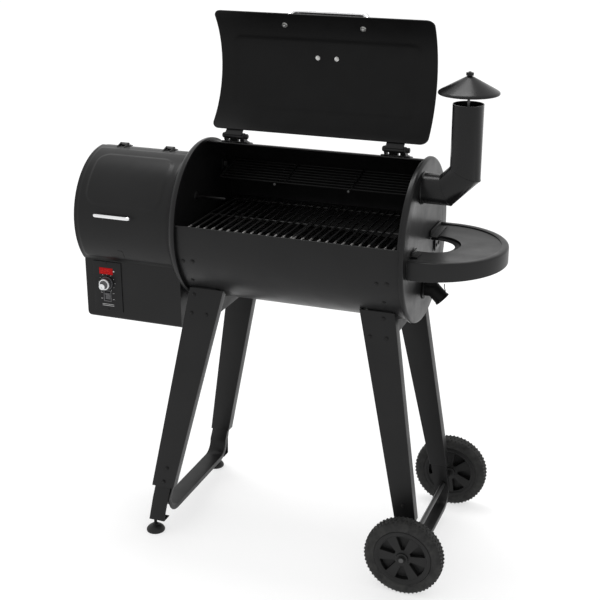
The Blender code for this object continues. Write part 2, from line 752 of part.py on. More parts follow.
def leg_channel(width, depth):
    """Channel section; a negative depth turns the flanges outwards."""
    half = width / 2
    sheet = math.copysign(SHEET, depth)
    return [(-half, 0), (half, 0), (half, -depth), (half - SHEET, -depth),
            (half - SHEET, -sheet), (-half + SHEET, -sheet), (-half + SHEET, -depth),
            (-half, -depth)]


def legs():
    """Front legs carry their web in front, rear legs too, so all flanges point backwards."""
    for side, leg in (("left", LEFT_LEG), ("right", RIGHT_LEG)):
        for end in ("front", "rear"):
            top_z = 0.6705 if end == "front" else 0.650
            stations, sections = [], []
            shape, depth = (leg, FRONT_FLANGE) if end == "front" else (rear_leg(leg), LEG_FLANGE)
            for z in (top_z, leg["low_z"]):
                x, y, width = leg_at(shape, z)
                if end == "rear":
                    y = -y - LEG_FLANGE
                stations.append(((x, y, z), (-1, 0)))
                sections.append(leg_channel(width, depth))
            item = place(f"leg_{end}_{side}", formed(stations, sections), "black_powder")
            cut(item, disc("x", (0, AXIS_Z), BARREL_R + 0.0005, -0.29, 0.29, 96))


def saddle(side, leg):
    """Open box under the barrel that joins a front leg to a rear leg."""
    inset = 0.004
    x, _, width = leg_at(leg, SADDLE_LOW)
    top_x, _, top_width = leg_at(leg, 0.670)
    left = max(x - width / 2, top_x - top_width / 2) + inset
    right = min(x + width / 2, top_x + top_width / 2) - inset
    cradle = BARREL_R + 0.0005
    front = [(leg_at(leg, z)[1] + SHEET + 2 * GAP, z) for z in (0.660, SADDLE_LOW)]
    rear = [(-leg_at(leg, z)[1] - LEG_FLANGE - 2 * GAP, z) for z in (SADDLE_LOW, 0.640)]
    start = front[0][0] + 0.0025
    curve = [rear[1][0] - 0.001 + (start - rear[1][0]) * n / 12 for n in range(13)]
    outline = front + rear + [(y, bottom_of(cradle, y)) for y in curve]
    box = place(f"saddle_{side}", prism(outline, "x", left, right), "black_powder")
    hollow = block((left + SHEET, front[1][0] + 0.012, SADDLE_LOW + SHEET),
                   (right - SHEET, rear[0][0] - 0.012, 0.70))
    cut(box, hollow)


def cross_bar(name, leg, top, low, width, run_x, radius=0.035, steps=5):
    """U-shaped channel between a front and a rear leg, nested in both."""
    leg = rear_leg(leg)
    fronts, rears = [], []
    for z in (top, leg["low_z"], low + radius):
        x, _, _ = leg_at(leg, max(z, leg["low_z"]))
        drop = max(0.0, (leg["low_z"] - z) / (leg["low_z"] - low - radius))
        x += drop * (run_x - x)
        _, y, _ = leg_at(leg, z)
        fronts.append((x, y + 2 * SHEET + 3 * GAP + BAR_FLANGE, z))
        rears.append((x, -y - LEG_FLANGE + SHEET + GAP, z))
    stations = [(point, (-1, 0)) for point in fronts]
    front_y, rear_y = fronts[-1][1] + radius, rears[-1][1] - radius
    for centre, angles in ((front_y, (180, 270)), (rear_y, (270, 360))):
        for n in range(steps + 1):
            angle = math.radians(angles[0] + (angles[1] - angles[0]) * n / steps)
            out = (math.cos(angle), math.sin(angle))
            if n in (0, steps) and abs(out[1]) < 0.5:
                continue
            stations.append(((run_x, centre + radius * out[0], low + radius + radius * out[1]), out))
    stations += [(point, (1, 0)) for point in reversed(rears)]
    sections = [leg_channel(width, -BAR_FLANGE)] * len(stations)
    return place(name, formed(stations, sections), "black_powder")


def foot_bracket(end):
    """Strip from inside a left leg down to a tab that the levelling foot screws through."""
    half, tab_z, bend_z = 0.0215, 0.040, 0.100
    sign = -1 if end == "front" else 1
    inner = SHEET + 2 * GAP if end == "front" else LEG_FLANGE - 2 * SHEET - 3 * GAP - BAR_FLANGE
    leg = LEFT_LEG if end == "front" else rear_leg(LEFT_LEG)
    stations = []
    for z in (0.195, bend_z):
        x, y, _ = leg_at(leg, z)
        stations.append(((x, sign * (-y - inner), z), (sign, 0)))
    stations.append(((BRACKET_X, sign * (FOOT_Y + 0.004), tab_z), (sign * 0.7, -0.7)))
    stations.append(((BRACKET_X, sign * (FOOT_Y - 0.026), tab_z), (0, -1)))
    strip = [(-half, 0), (half, 0), (half, -SHEET), (-half, -SHEET)]
    bracket = place(f"foot_bracket_{end}", formed(stations, [strip] * 4), "black_powder")
    cut(bracket, disc("z", (FOOT_X, sign * (FOOT_Y - 0.012)), 0.0045, 0.02, 0.05, 16))


def levelling_foot(end):
    sign = -1 if end == "front" else 1
    centre = (FOOT_X, sign * (FOOT_Y - 0.012))
    profile = [(0, 0), (FOOT_R - 0.002, 0), (FOOT_R, 0.003), (0.021, 0.010), (0.012, 0.017),
               (0.007, 0.019), (0.004, 0.022), (0.004, 0.053), (0, 0.053)]
    place(f"levelling_foot_{end}", turned(profile, "z", centre, 18), "black_plastic", (*centre, 0),
          smooth=True)


def wheel(end):
    sign = -1 if end == "front" else 1
    centre = (WHEEL_X, WHEEL_R)
    middle_y = sign * WHEEL_Y
    origin = (WHEEL_X, middle_y, WHEEL_R)
    rim, rim_in, boss, bore = 0.0705, 0.0635, 0.0145, AXLE_R + 0.0005
    web, rim_half = 0.0120, 0.018
    half_profile = [(boss, WHEEL_HALF), (boss + 0.002, web), (rim_in, web), (rim_in, rim_half),
                    (rim, rim_half)]
    hub_profile = [(bore, -WHEEL_HALF)] + [(r, -y) for r, y in half_profile]
    hub_profile += list(reversed(half_profile)) + [(bore, WHEEL_HALF)]
    hub_profile = [(r, middle_y + y) for r, y in hub_profile]
    hub = place(f"wheel_hub_{end}", turned(hub_profile, "y", centre, 28), "black_plastic", origin,
                smooth=True)
    windows = []
    for n in range(6):
        turn = 60 * n + (30 if end == "front" else 0)
        wedge = arc(centre, 0.058, turn - 17, turn + 17, 3) + arc(centre, 0.0215, turn + 10, turn - 10, 2)
        windows.append(prism(wedge, "y", middle_y - 0.02, middle_y - 0.0012))
        windows.append(prism(wedge, "y", middle_y + 0.0012, middle_y + 0.02))
    cut(hub, *windows)
    tread = [(rim + GAP, 0.0165), (0.0870, 0.0185), (0.0945, 0.0145), (WHEEL_R, 0.0095)]
    tyre_profile = [(r, middle_y - y) for r, y in tread]
    tyre_profile += [(r, middle_y + y) for r, y in reversed(tread)]
    place(f"tyre_{end}", turned(tyre_profile, "y", centre, 36), "rubber", origin, smooth=True)


def undercarriage():
    legs()
    saddle("left", LEFT_LEG)
    saddle("right", RIGHT_LEG)
    cross_bar("foot_cross_bar", LEFT_LEG, 0.200, 0.062, 0.0465, -0.3455)
    bar = cross_bar("axle_cross_bar", RIGHT_LEG, 0.215, 0.050, 0.039, 0.3155)
    cut(bar, disc("y", (WHEEL_X, WHEEL_R), AXLE_R + GAP, -0.25, 0.25, 16))
    place("wheel_axle", disc("y", (WHEEL_X, WHEEL_R), AXLE_R, -0.256, 0.256, 16), "steel", smooth=True)
    for end in ("front", "rear"):
        foot_bracket(end)
        levelling_foot(end)
        wheel(end)


# Side shelf, chimney and drain

def shelf_stations(steps=22):
    """Across the shelf from the front flank to the rear one: (flank, direction) pairs."""
    turns = [math.radians(-90 + 180 * n / steps) for n in range(steps + 1)]
    ways = [(True, turns[0])] + [(False, turn) for turn in turns] + [(True, turns[-1])]
    return [(flank, math.cos(turn) if not flank else 0.0, math.sin(turn)) for flank, turn in ways]


def side_shelf():
    """Round-ended tray: skirt round the outside, cup notch with a sunk ring at the barrel."""
    sheet, round_off, sink, ledge = 0.0025, 0.004, 0.0055, 0.013
    back = RIGHT_CAP["face"] + GAP
    under = SHELF_TOP - sheet
    inner = [(CUP_R, SHELF_TOP - sink - sheet), (CUP_R + ledge + sheet, SHELF_TOP - sink - sheet),
             (CUP_R + ledge + sheet, under)]
    outer = [(round_off, under), (sheet, SHELF_TOP - round_off), (sheet, None), (0, None),
             (0, SHELF_TOP - round_off), (0.0015, SHELF_TOP - 0.0015), (round_off, SHELF_TOP)]
    last = [(CUP_R + ledge, SHELF_TOP), (CUP_R + ledge, SHELF_TOP - sink), (CUP_R, SHELF_TOP - sink)]
    bm = bmesh.new()
    rings = []
    for flank, along, across in shelf_stations():
        hem = SHELF_TOP - SHELF_DROP + 0.005 * along
        points = [(CUP_X + r * along, CUP_Y + r * across, z) for r, z in inner]
        points += [(SHELF_X + (SHELF_R - d) * along, (SHELF_R - d) * across, hem if z is None else z)
                   for d, z in outer]
        points += [(CUP_X + r * along, CUP_Y + r * across, z) for r, z in last]
        rings.append([bm.verts.new((back if flank else x, y, z)) for x, y, z in points])
    for here, there in zip(rings, rings[1:]):
        for i in range(len(here)):
            j = (i + 1) % len(here)
            bm.faces.new((here[i], here[j], there[j], there[i]))
    bm.faces.new(rings[0])
    bm.faces.new(list(reversed(rings[-1])))
    place("side_shelf", bm, "black_powder", smooth=True)
    for name, y in (("front", -0.112), ("rear", 0.100)):
        arm = under - GAP
        outline = [(back, arm - 0.045), (back + 0.003, arm - 0.045), (back + 0.003, arm - 0.004),
                   (back + 0.050, arm - 0.003), (back + 0.050, arm), (back, arm)]
        place(f"shelf_bracket_{name}", prism(outline, "y", y - 0.020, y + 0.020), "black_powder")


def chimney():
    rise = 0.042
    path = [(RIGHT_CAP["face"] - 0.012, CHIMNEY_Y, CHIMNEY_LOW), (CHIMNEY_X - rise, CHIMNEY_Y, CHIMNEY_LOW),
            (CHIMNEY_X, CHIMNEY_Y, CHIMNEY_LOW + rise), (CHIMNEY_X, CHIMNEY_Y, CHIMNEY_TOP)]
    place("chimney_pipe", pipe(path, CHIMNEY_R, CHIMNEY_R - 0.002, 24), "black_powder", smooth=True)
    centre = (CHIMNEY_X, CHIMNEY_Y)
    inner = CHIMNEY_R - 0.002 - 2 * GAP
    bar_z = CHIMNEY_TOP - 0.020
    bar = place("chimney_cap_stud", block((CHIMNEY_X - inner, CHIMNEY_Y - 0.005, bar_z),
                                          (CHIMNEY_X + inner, CHIMNEY_Y + 0.005, bar_z + 0.002)), "steel")
    fuse(bar, disc("z", centre, 0.003, bar_z + 0.001, CHIMNEY_CAP_Z + 0.045, 12))
    rim, top, bore, sheet = CHIMNEY_CAP_R, CHIMNEY_CAP_Z + 0.036, 0.0036, 0.0015
    profile = [(bore, top), (rim - 0.004, CHIMNEY_CAP_Z + 0.003), (rim, CHIMNEY_CAP_Z),
               (rim, CHIMNEY_CAP_Z - 0.004), (rim - sheet, CHIMNEY_CAP_Z - 0.004),
               (rim - sheet, CHIMNEY_CAP_Z - 0.001), (rim - 0.005, CHIMNEY_CAP_Z + 0.001), (bore, top - 0.002)]
    place("chimney_cap", turned(profile, "z", centre, 32), "black_powder", (*centre, CHIMNEY_CAP_Z),
          smooth=True)


def drain_spout():
    turn_x, drop = 0.3085, 0.024
    path = [(0.252, 0, DRAIN_Z), (turn_x, 0, DRAIN_Z), (turn_x + drop, 0, DRAIN_Z - drop)]
    spout = place("drain_spout", pipe(path, DRAIN_R, DRAIN_R - 0.002, 20), "black_powder", smooth=True)
    cut(spout, block((0.24, -0.03, DRAIN_Z), (0.280, 0.03, DRAIN_Z + 0.03)))


def main():
    clear_scene()
    origin = bpy.data.objects.new("grill_origin", None)
    origin.location = (FRAME_SHIFT_X, 0, 0)
    bpy.context.scene.collection.objects.link(origin)
    barrel_shell()
    end_caps()
    lid()
    lid_hinge("left", HINGE_LEFT)
    lid_hinge("right", HINGE_RIGHT)
    grates()
    grease_tray()
    firebox()
    auger()
    fan()
    hopper_housing()
    hopper_lid()
    hopper_hinges()
    pellet_bin()
    control_box()
    power_inlet()
    undercarriage()
    side_shelf()
    chimney()
    drain_spout()


main()
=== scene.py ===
"""Visual model of the pellet smoker grill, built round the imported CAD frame.

Shapes are worked out in the barrel's frame, as in the CAD: X along the barrel, Y away from
the cook, Z up from the floor. MID is where the barrel's middle stands in the row's frame.
"""

import math

import bmesh
import bpy
from mathutils import Matrix, Vector


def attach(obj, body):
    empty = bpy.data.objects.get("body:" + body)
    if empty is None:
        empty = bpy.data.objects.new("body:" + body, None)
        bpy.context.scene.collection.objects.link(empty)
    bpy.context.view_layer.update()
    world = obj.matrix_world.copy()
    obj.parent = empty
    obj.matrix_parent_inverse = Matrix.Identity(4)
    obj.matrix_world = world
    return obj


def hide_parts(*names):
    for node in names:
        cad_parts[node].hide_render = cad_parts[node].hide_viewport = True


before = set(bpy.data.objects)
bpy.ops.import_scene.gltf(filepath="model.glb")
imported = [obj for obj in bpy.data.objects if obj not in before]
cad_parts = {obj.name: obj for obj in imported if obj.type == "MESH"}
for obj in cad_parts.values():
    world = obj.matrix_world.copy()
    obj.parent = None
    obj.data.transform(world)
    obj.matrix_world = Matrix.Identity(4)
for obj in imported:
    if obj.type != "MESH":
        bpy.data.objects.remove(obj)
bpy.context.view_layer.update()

# Driving dimensions, in metres and degrees. A SPOT is where an axis stands, as seen along it.
MID = 0.04375
AXIS_Z = 0.8127               # height of the barrel's axis
SHEET = 0.0025                # body sheet metal
BARREL_R = 0.19
BARREL_LEFT, BARREL_RIGHT = -0.289, 0.2825
OPENING_REAR, OPENING_FRONT = 84, 171.4
CAP_R = 0.198                 # end cap's rim
CAP_FACE = 0.2861             # just outside the right cap's face
LID_R = 0.194
LID_SPOT = (0.03, 1.0175)     # the lid's pins
LID_SWING = 136.4             # from fully open to shut
LID_HINGES = (-0.214, 0.196)
GRIP_HALF, GRIP_ANGLE = 0.098, 167.5
RACK_ARMS = (-0.115, 0.077)
RACK_SPOT = (0.042, 0.904)    # front edge of the warming rack
RACK_SLOPE = math.radians(14)
HOPPER_R = 0.157
HOPPER_LEFT, HOPPER_RIGHT, HOPPER_FLOOR = -0.568, -0.303, 0.551
HOPPER_LID_R = 0.1603
HOPPER_SPOT = (0.012, 0.9755)  # the hopper lid's pins
HOPPER_HINGES = (-0.51, -0.382)
AUGER_SPOT = (0, 0.672)
FAN_SPOT = (0.06, 0.7)
PRINT_FRONT, PRINT_BACK = -0.12175, -0.1214  # depth of the panel's print
DIAL_SPOT = (-0.507, 0.648)
CHIMNEY_SPOT = (-0.04, 0.951)  # its level run
CHIMNEY_FOOT = (0.3812, -0.04)  # its upright run
DRAIN_Z = 0.694
WHEEL_SPOT, WHEEL_Y = (0.32, 0.097), 0.229
LEGS = {"left": dict(top_x=-0.2255, low_x=-0.339, low_y=-0.191, low_z=0.1325, top_w=0.089, low_w=0.06),
        "right": dict(top_x=0.208, low_x=0.302, low_y=-0.166, low_z=0.152, top_w=0.086, low_w=0.0525)}
LEG_TOP_Y, LEG_TOP_Z = -0.131, 0.674


# Materials

MAT = {}


def grey(value):
    return (value, value, value)


def node_material(name, colour, roughness, metallic=0, **sockets):
    """Puts a Principled material in MAT; returns its tree and shader for more nodes."""
    MAT[name] = bpy.data.materials.new(name)
    MAT[name].use_nodes = True
    tree = MAT[name].node_tree
    shader = tree.nodes["Principled BSDF"]
    sockets.update(Base_Color=(*colour, 1), Roughness=roughness, Metallic=metallic)
    for key, value in sockets.items():
        shader.inputs[key.replace("_", " ")].default_value = value
    return tree, shader


def add(tree, kind, **values):
    """A node with its properties set by name, and its inputs set or, given a socket, linked."""
    node = tree.nodes.new(kind)
    for key, value in values.items():
        if hasattr(node, key):
            setattr(node, key, value)
        elif isinstance(value, bpy.types.NodeSocket):
            tree.links.new(value, node.inputs[key])
        else:
            node.inputs[key.replace("_", " ")].default_value = value
    return node


def noise(tree, scale, detail=3, stretch=(1, 1, 1)):
    coords = add(tree, "ShaderNodeTexCoord")
    mapping = add(tree, "ShaderNodeMapping", Scale=stretch, Vector=coords.outputs["Object"])
    node = add(tree, "ShaderNodeTexNoise", Scale=scale, Detail=detail, Vector=mapping.outputs[0])
    return node.outputs["Fac"]


def vary_colour(tree, shader, fac, low, high, edges=(0.35, 0.65)):
    ramp = add(tree, "ShaderNodeValToRGB", Fac=fac)
    for stop, position, colour in zip(ramp.color_ramp.elements, edges, (low, high)):
        stop.position = position
        stop.color = (*colour, 1)
    tree.links.new(ramp.outputs["Color"], shader.inputs["Base Color"])


def vary_roughness(tree, shader, fac, low, high):
    spread = add(tree, "ShaderNodeMapRange", Value=fac, From_Min=0.3, From_Max=0.7,
                 To_Min=low, To_Max=high)
    tree.links.new(spread.outputs["Result"], shader.inputs["Roughness"])


def bump(tree, shader, fac, strength, distance):
    node = add(tree, "ShaderNodeBump", Strength=strength, Distance=distance, Height=fac)
    tree.links.new(node.outputs["Normal"], shader.inputs["Normal"])


def scaled(colour, factor):
    return tuple(min(1.0, c * factor) for c in colour)


def powder_coat(name, colour, roughness=0.36, gloss=0.23):
    """Baked powder coat: faint orange peel, slow drift in tone and sheen."""
    tree, shader = node_material(name, colour, roughness, Specular_IOR_Level=gloss)
    vary_colour(tree, shader, noise(tree, 7, 4), scaled(colour, 0.86), scaled(colour, 1.14))
    vary_roughness(tree, shader, noise(tree, 22, 3), roughness - 0.05, roughness + 0.05)
    bump(tree, shader, noise(tree, 900, 2), 0.35, 0.0001)


def bright_metal(name, colour, roughness, tint=None, scale=18, stretch=(1, 1, 1)):
    """Plated or bare metal with fine scratches and, with a tint, heat staining."""
    tree, shader = node_material(name, colour, roughness, 1)
    vary_colour(tree, shader, noise(tree, scale, 5), tint or scaled(colour, 0.9), colour)
    scratches = noise(tree, 420, 4, stretch)
    vary_roughness(tree, shader, scratches, roughness * 0.8, roughness * 1.3)
    bump(tree, shader, scratches, 0.12, 0.00006)


def moulded(name, colour, roughness, grain=2400, depth=0.00008, gloss=0.3):
    """Moulded plastic with a fine grain."""
    tree, shader = node_material(name, colour, roughness, Specular_IOR_Level=gloss)
    vary_colour(tree, shader, noise(tree, 30, 3), scaled(colour, 0.85), scaled(colour, 1.15))
    vary_roughness(tree, shader, noise(tree, 60, 2), roughness - 0.05, roughness + 0.06)
    bump(tree, shader, noise(tree, grain, 2), 0.5, depth)


def rubber():
    dark, dusty = grey(0.009), (0.021, 0.021, 0.02)
    tree, shader = node_material("tyre_rubber", grey(0.012), 0.72, Specular_IOR_Level=0.3)
    vary_colour(tree, shader, noise(tree, 55, 5), dark, dusty)
    vary_roughness(tree, shader, noise(tree, 130, 3), 0.6, 0.85)
    bump(tree, shader, noise(tree, 1500, 3), 0.6, 0.0002)


def glowing(name, colour, strength):
    """Clear plastic lit from behind."""
    tree, shader = node_material(name, scaled(colour, 0.6), 0.25, Specular_IOR_Level=0.1,
                                 Emission_Color=(*colour, 1), Emission_Strength=strength)
    bump(tree, shader, noise(tree, 900, 2), 0.1, 0.00003)
    vary_roughness(tree, shader, noise(tree, 200, 2), 0.18, 0.3)


def enamel_wire():
    """Dark enamelled wire, with a painted highlight of bright metal on its front ends."""
    dark, bright = grey(0.012), (0.62, 0.61, 0.6)
    tip_highlight_starts, tip_highlight_ends = -0.112, -0.146
    tree, shader = node_material("grate_enamel", dark, 0.32)
    coords = add(tree, "ShaderNodeTexCoord")
    split = add(tree, "ShaderNodeSeparateXYZ", Vector=coords.outputs["Object"])
    # Painted highlight: towards the front ends the wire turns bright and metallic, in patches.
    tip_highlight = add(tree, "ShaderNodeMapRange", Value=split.outputs["Y"],
               From_Min=tip_highlight_starts, From_Max=tip_highlight_ends)
    patchy_tip_highlight = add(tree, "ShaderNodeMath", operation="MULTIPLY")
    tree.links.new(tip_highlight.outputs["Result"], patchy_tip_highlight.inputs[0])
    tree.links.new(noise(tree, 160, 4), patchy_tip_highlight.inputs[1])
    vary_colour(tree, shader, patchy_tip_highlight.outputs["Value"], dark, bright, (0.12, 0.45))
    tree.links.new(tip_highlight.outputs["Result"], shader.inputs["Metallic"])
    vary_roughness(tree, shader, noise(tree, 90, 4), 0.26, 0.42)
    bump(tree, shader, noise(tree, 1300, 3), 0.3, 0.00008)


BLACK = (0.0055, 0.0055, 0.0057)
powder_coat("body_paint", BLACK)
powder_coat("lid_paint", BLACK)
# Painted shade: a darker, duller copy of the black paint for the inside of the lid.
powder_coat("lid_inner_shade", (0.0035, 0.0035, 0.0036), 0.45, gloss=0.13)
powder_coat("hopper_paint", BLACK, 0.34)
powder_coat("leg_paint", BLACK, 0.4)
powder_coat("shelf_paint", (0.009, 0.009, 0.0093), 0.34)
powder_coat("chimney_paint", BLACK, 0.27)
# Painted shade: the spout's paint is a darker, duller copy of the black paint, for the shade under the
# shelf.
powder_coat("spout_paint", grey(0.004), 0.45, gloss=0.1)
bright_metal("handle_chrome", (0.8, 0.8, 0.81), 0.12)
enamel_wire()
powder_coat("rack_enamel", grey(0.006), 0.42, gloss=0.15)
bright_metal("inner_steel", grey(0.16), 0.4, (0.08, 0.078, 0.074), 9, (0.05, 1, 1))
bright_metal("pin_steel", grey(0.1), 0.38)
powder_coat("bolt_black", grey(0.004), 0.4, gloss=0.2)
bright_metal("nut_chrome", (0.55, 0.55, 0.54), 0.28)
moulded("panel_plastic", (0.0062, 0.0062, 0.0066), 0.48, gloss=0.22)
moulded("fan_plastic", grey(0.012), 0.5)
moulded("print_white", grey(0.5), 0.5)
moulded("switch_grey", (0.075, 0.075, 0.078), 0.4)
glowing("display_red", (0.3, 0.002, 0.003), 0.5)
glowing("digit_red", (0.55, 0.02, 0.015), 0.55)
moulded("dial_silver", (0.66, 0.67, 0.68), 0.28, 1200, 0.00003, 0.5)
moulded("dial_dark", (0.035, 0.035, 0.038), 0.25, 1200, 0.00003, 0.5)
moulded("wheel_plastic", grey(0.0066), 0.42, gloss=0.25)
moulded("foot_plastic", grey(0.007), 0.5)
rubber()


# Mesh building, in the barrel's frame

def axis_point(axis, a, b, along):
    if axis == "x":
        return Vector((along, a, b))
    if axis == "y":
        return Vector((a, along, b))
    return Vector((a, b, along))


def arc(centre, radius, start, end, steps):
    points = []
    for n in range(steps + 1):
        angle = math.radians(start + (end - start) * n / steps)
        points.append((centre[0] + radius * math.cos(angle), centre[1] + radius * math.sin(angle)))
    return points


def skin(bm, here, there):
    """Faces between two closed rings of points, which may share some."""
    for i in range(len(here)):
        j = (i + 1) % len(here)
        corners = list(dict.fromkeys((here[i], here[j], there[j], there[i])))
        if len(corners) > 2:
            bm.faces.new(corners)


def skin_round(bm, rings):
    for here, there in zip(rings, rings[1:] + rings[:1]):
        skin(bm, here, there)
    return bm


def prism(outline, axis, low, high):
    bm = bmesh.new()
    near = [bm.verts.new(axis_point(axis, a, b, low)) for a, b in outline]
    far = [bm.verts.new(axis_point(axis, a, b, high)) for a, b in outline]
    bm.faces.new(near)
    bm.faces.new(far[::-1])
    skin(bm, near, far)
    return bm


def block(low, high):
    outline = [(low[0], low[1]), (high[0], low[1]), (high[0], high[1]), (low[0], high[1])]
    return prism(outline, "z", low[2], high[2])


def turned(profile, axis, centre, steps):
    """Turn a closed (radius, along) outline about an axis through centre."""
    bm = bmesh.new()
    rings, ring = [], {}
    for n in range(steps):
        angle = 2 * math.pi * n / steps
        for index, (radius, along) in enumerate(profile):
            if n == 0 or radius > 0:
                spot = axis_point(axis, centre[0] + radius * math.cos(angle),
                                  centre[1] + radius * math.sin(angle), along)
                ring[index] = bm.verts.new(spot)
        rings.append(list(ring.values()))
    return skin_round(bm, rings)


def smooth_path(points, bend, steps):
    """Points of a line with its corners rounded to a bend radius."""
    corners = [Vector(p) for p in points]
    path = [corners[0]]
    for before, here, after in zip(corners, corners[1:], corners[2:]):
        into, out = (before - here), (after - here)
        reach = min(bend, into.length * 0.49, out.length * 0.49)
        start, end = here + into.normalized() * reach, here + out.normalized() * reach
        for n in range(steps + 1):
            t = n / steps
            path.append((1 - t) ** 2 * start + 2 * t * (1 - t) * here + t ** 2 * end)
    path.append(corners[-1])
    return path


def pipe(path, outer, inner=0, steps=12, round_ends=0):
    """A tube, or a rod if inner is 0, along a path; round_ends chamfers a rod's ends."""
    points = [Vector(p) for p in path]
    radii = [outer] * len(points)
    if round_ends:
        for end, way in ((0, 1), (-1, -1)):
            along = (points[end + way] - points[end]).normalized()
            spots = [points[end] + along * round_ends * share for share in (0, 0.3, 1)]
            sizes = [outer * 0.55, outer * 0.86, outer]
            if end == 0:
                points[0:1], radii[0:1] = spots, sizes
            else:
                points[-1:], radii[-1:] = spots[::-1], sizes[::-1]
    bm = bmesh.new()
    ways = [(b - a).normalized() for a, b in zip(points, points[1:])]
    side = ways[0].orthogonal().normalized()
    walls = []
    for n, point in enumerate(points):
        before, after = ways[max(n - 1, 0)], ways[min(n, len(ways) - 1)]
        cross = (before + after).normalized()
        if n:
            side = (side - side.dot(before) * before).normalized()
        up = before.cross(side)
        rings = []
        for radius in (radii[n], inner):
            ring = []
            for k in range(steps if radius else 0):
                angle = 2 * math.pi * k / steps
                offset = radius * (math.cos(angle) * side + math.sin(angle) * up)
                offset -= before * (offset.dot(cross) / before.dot(cross))
                ring.append(bm.verts.new(point + offset))
            rings.append(ring)
        walls.append(rings)
    for here, there in zip(walls, walls[1:]):
        for a, b in zip(here, there):
            skin(bm, a, b)
    for outside, inside in (walls[0], walls[-1]):
        if inside:
            skin(bm, outside, inside)
        else:
            bm.faces.new(outside)
    return bm


def linked(name, data):
    item = bpy.data.objects.new(name, data)
    bpy.context.scene.collection.objects.link(item)
    return item


def joined(parts):
    """One bmesh holding several."""
    whole = bmesh.new()
    for part in parts:
        copy = bpy.data.meshes.new("step")
        part.to_mesh(copy)
        part.free()
        whole.from_mesh(copy)
        bpy.data.meshes.remove(copy)
    return whole


def swung(bm, y, z, degrees):
    matrix = Matrix.Rotation(math.radians(degrees), 4, "X")
    bmesh.ops.rotate(bm, verts=bm.verts, cent=(0, y, z), matrix=matrix)
    return bm


def rounded(bm, width, segments=2, angle=30.0):
    """Round the sharp edges of a closed shape."""
    sharp = [e for e in bm.edges if len(e.link_faces) == 2
             and e.calc_face_angle(0.0) > math.radians(angle)]
    bmesh.ops.bevel(bm, geom=sharp, offset=width, segments=segments, profile=0.6, affect="EDGES",
                    clamp_overlap=True)
    return bm


def solved(bm, others, operation):
    """Cut shapes out of a closed shape, or join them to it, with the exact solver."""
    holders = []
    for shape in (bm, *others):
        bmesh.ops.remove_doubles(shape, verts=shape.verts, dist=1e-7)
        bmesh.ops.recalc_face_normals(shape, faces=shape.faces)
        mesh = bpy.data.meshes.new("step")
        shape.to_mesh(mesh)
        shape.free()
        holders.append(linked("step", mesh))
    for other in holders[1:]:
        step = holders[0].modifiers.new("step", "BOOLEAN")
        step.operation = operation
        step.solver = "EXACT"
        step.object = other
    bpy.context.view_layer.update()
    result = bmesh.new()
    result.from_object(holders[0], bpy.context.evaluated_depsgraph_get())
    for holder in holders:
        mesh = holder.data
        bpy.data.objects.remove(holder)
        bpy.data.meshes.remove(mesh)
    return result


def cut(bm, *others):
    return solved(bm, others, "DIFFERENCE")


def fused(bm, *others):
    return solved(bm, others, "UNION")


def disc(axis, centre, radius, low, high, steps=48):
    return prism(arc(centre, radius, 0, 360 - 360 / steps, steps - 1), axis, low, high)


def bent_sheet(radius, start, end, left, right, steps):
    outline = arc((0, AXIS_Z), radius, start, end, steps)
    outline += arc((0, AXIS_Z), radius - SHEET, end, start, steps)
    return prism(outline, "x", left, right)


def on_barrel(radius, angle, x):
    """A point on a cylinder about the barrel's axis."""
    turn = math.radians(angle)
    return Vector((x, radius * math.cos(turn), AXIS_Z + radius * math.sin(turn)))


def outward(angle):
    turn = math.radians(angle)
    return Vector((0, math.cos(turn), math.sin(turn)))


def moved_to(bm, spot, way):
    """Stand a shape drawn about the Z axis on a spot, with its axis along way."""
    turn = Vector((0, 0, 1)).rotation_difference(Vector(way).normalized()).to_matrix().to_4x4()
    bmesh.ops.transform(bm, matrix=Matrix.Translation(Vector(spot)) @ turn, verts=bm.verts)
    return bm


def dome_bolt(spot, way, radius=0.0042, height=0.0024):
    """Low dome head on a thin washer, with a short shank that reaches into the metal."""
    profile = [(0, -0.002), (radius * 0.5, -0.002), (radius * 0.5, 0), (radius * 1.35, 0),
               (radius * 1.35, 0.0006), (radius, 0.0006), (radius, height * 0.45)]
    profile += [(radius * math.cos(math.radians(a)), height * (0.45 + 0.55 * math.sin(math.radians(a))))
                for a in (30, 55, 75)]
    profile.append((0, height))
    return moved_to(turned(profile, "z", (0, 0), 20), spot, way)


def hex_nut(spot, way, radius):
    """Hexagon nut on a washer, with the end of its screw proud of it."""
    height, stud = 0.004, 0.0022
    outline = [(0, 0), (radius * 1.25, 0), (radius * 1.25, 0.0008), (0, 0.0008)]
    washer = turned(outline, "z", (0, 0), 24)
    nut = rounded(disc("z", (0, 0), radius, 0.0007, height, 6), 0.0004)
    tip = turned([(0, height - 0.001), (stud, height - 0.001), (stud, height + 0.0012),
                  (stud * 0.6, height + 0.0018), (0, height + 0.0018)], "z", (0, 0), 16)
    return moved_to(fused(washer, nut, tip), spot, way)


def pressed_sheet(radius, rows, columns, lift):
    """Curved sheet about the barrel's axis. Rows are (angle, left, right); lift(x, angle) presses it out."""
    bm = bmesh.new()
    layers = []
    for depth in (0.0, SHEET):
        layer = []
        for angle, left, right in rows:
            line = []
            for n in range(columns + 1):
                x = left + (right - left) * n / columns
                line.append(bm.verts.new(on_barrel(radius - depth + lift(x, angle), angle, x)))
            layer.append(line)
        layers.append(layer)
    outer, inner = layers
    last = len(rows) - 1
    for i in range(last):
        for j in range(columns):
            for layer in layers:
                bm.faces.new((layer[i][j], layer[i + 1][j], layer[i + 1][j + 1], layer[i][j + 1]))
        for j in (0, columns):
            bm.faces.new((outer[i][j], outer[i + 1][j], inner[i + 1][j], inner[i][j]))
    for j in range(columns):
        for i in (0, last):
            bm.faces.new((outer[i][j], outer[i][j + 1], inner[i][j + 1], inner[i][j]))
    return bm


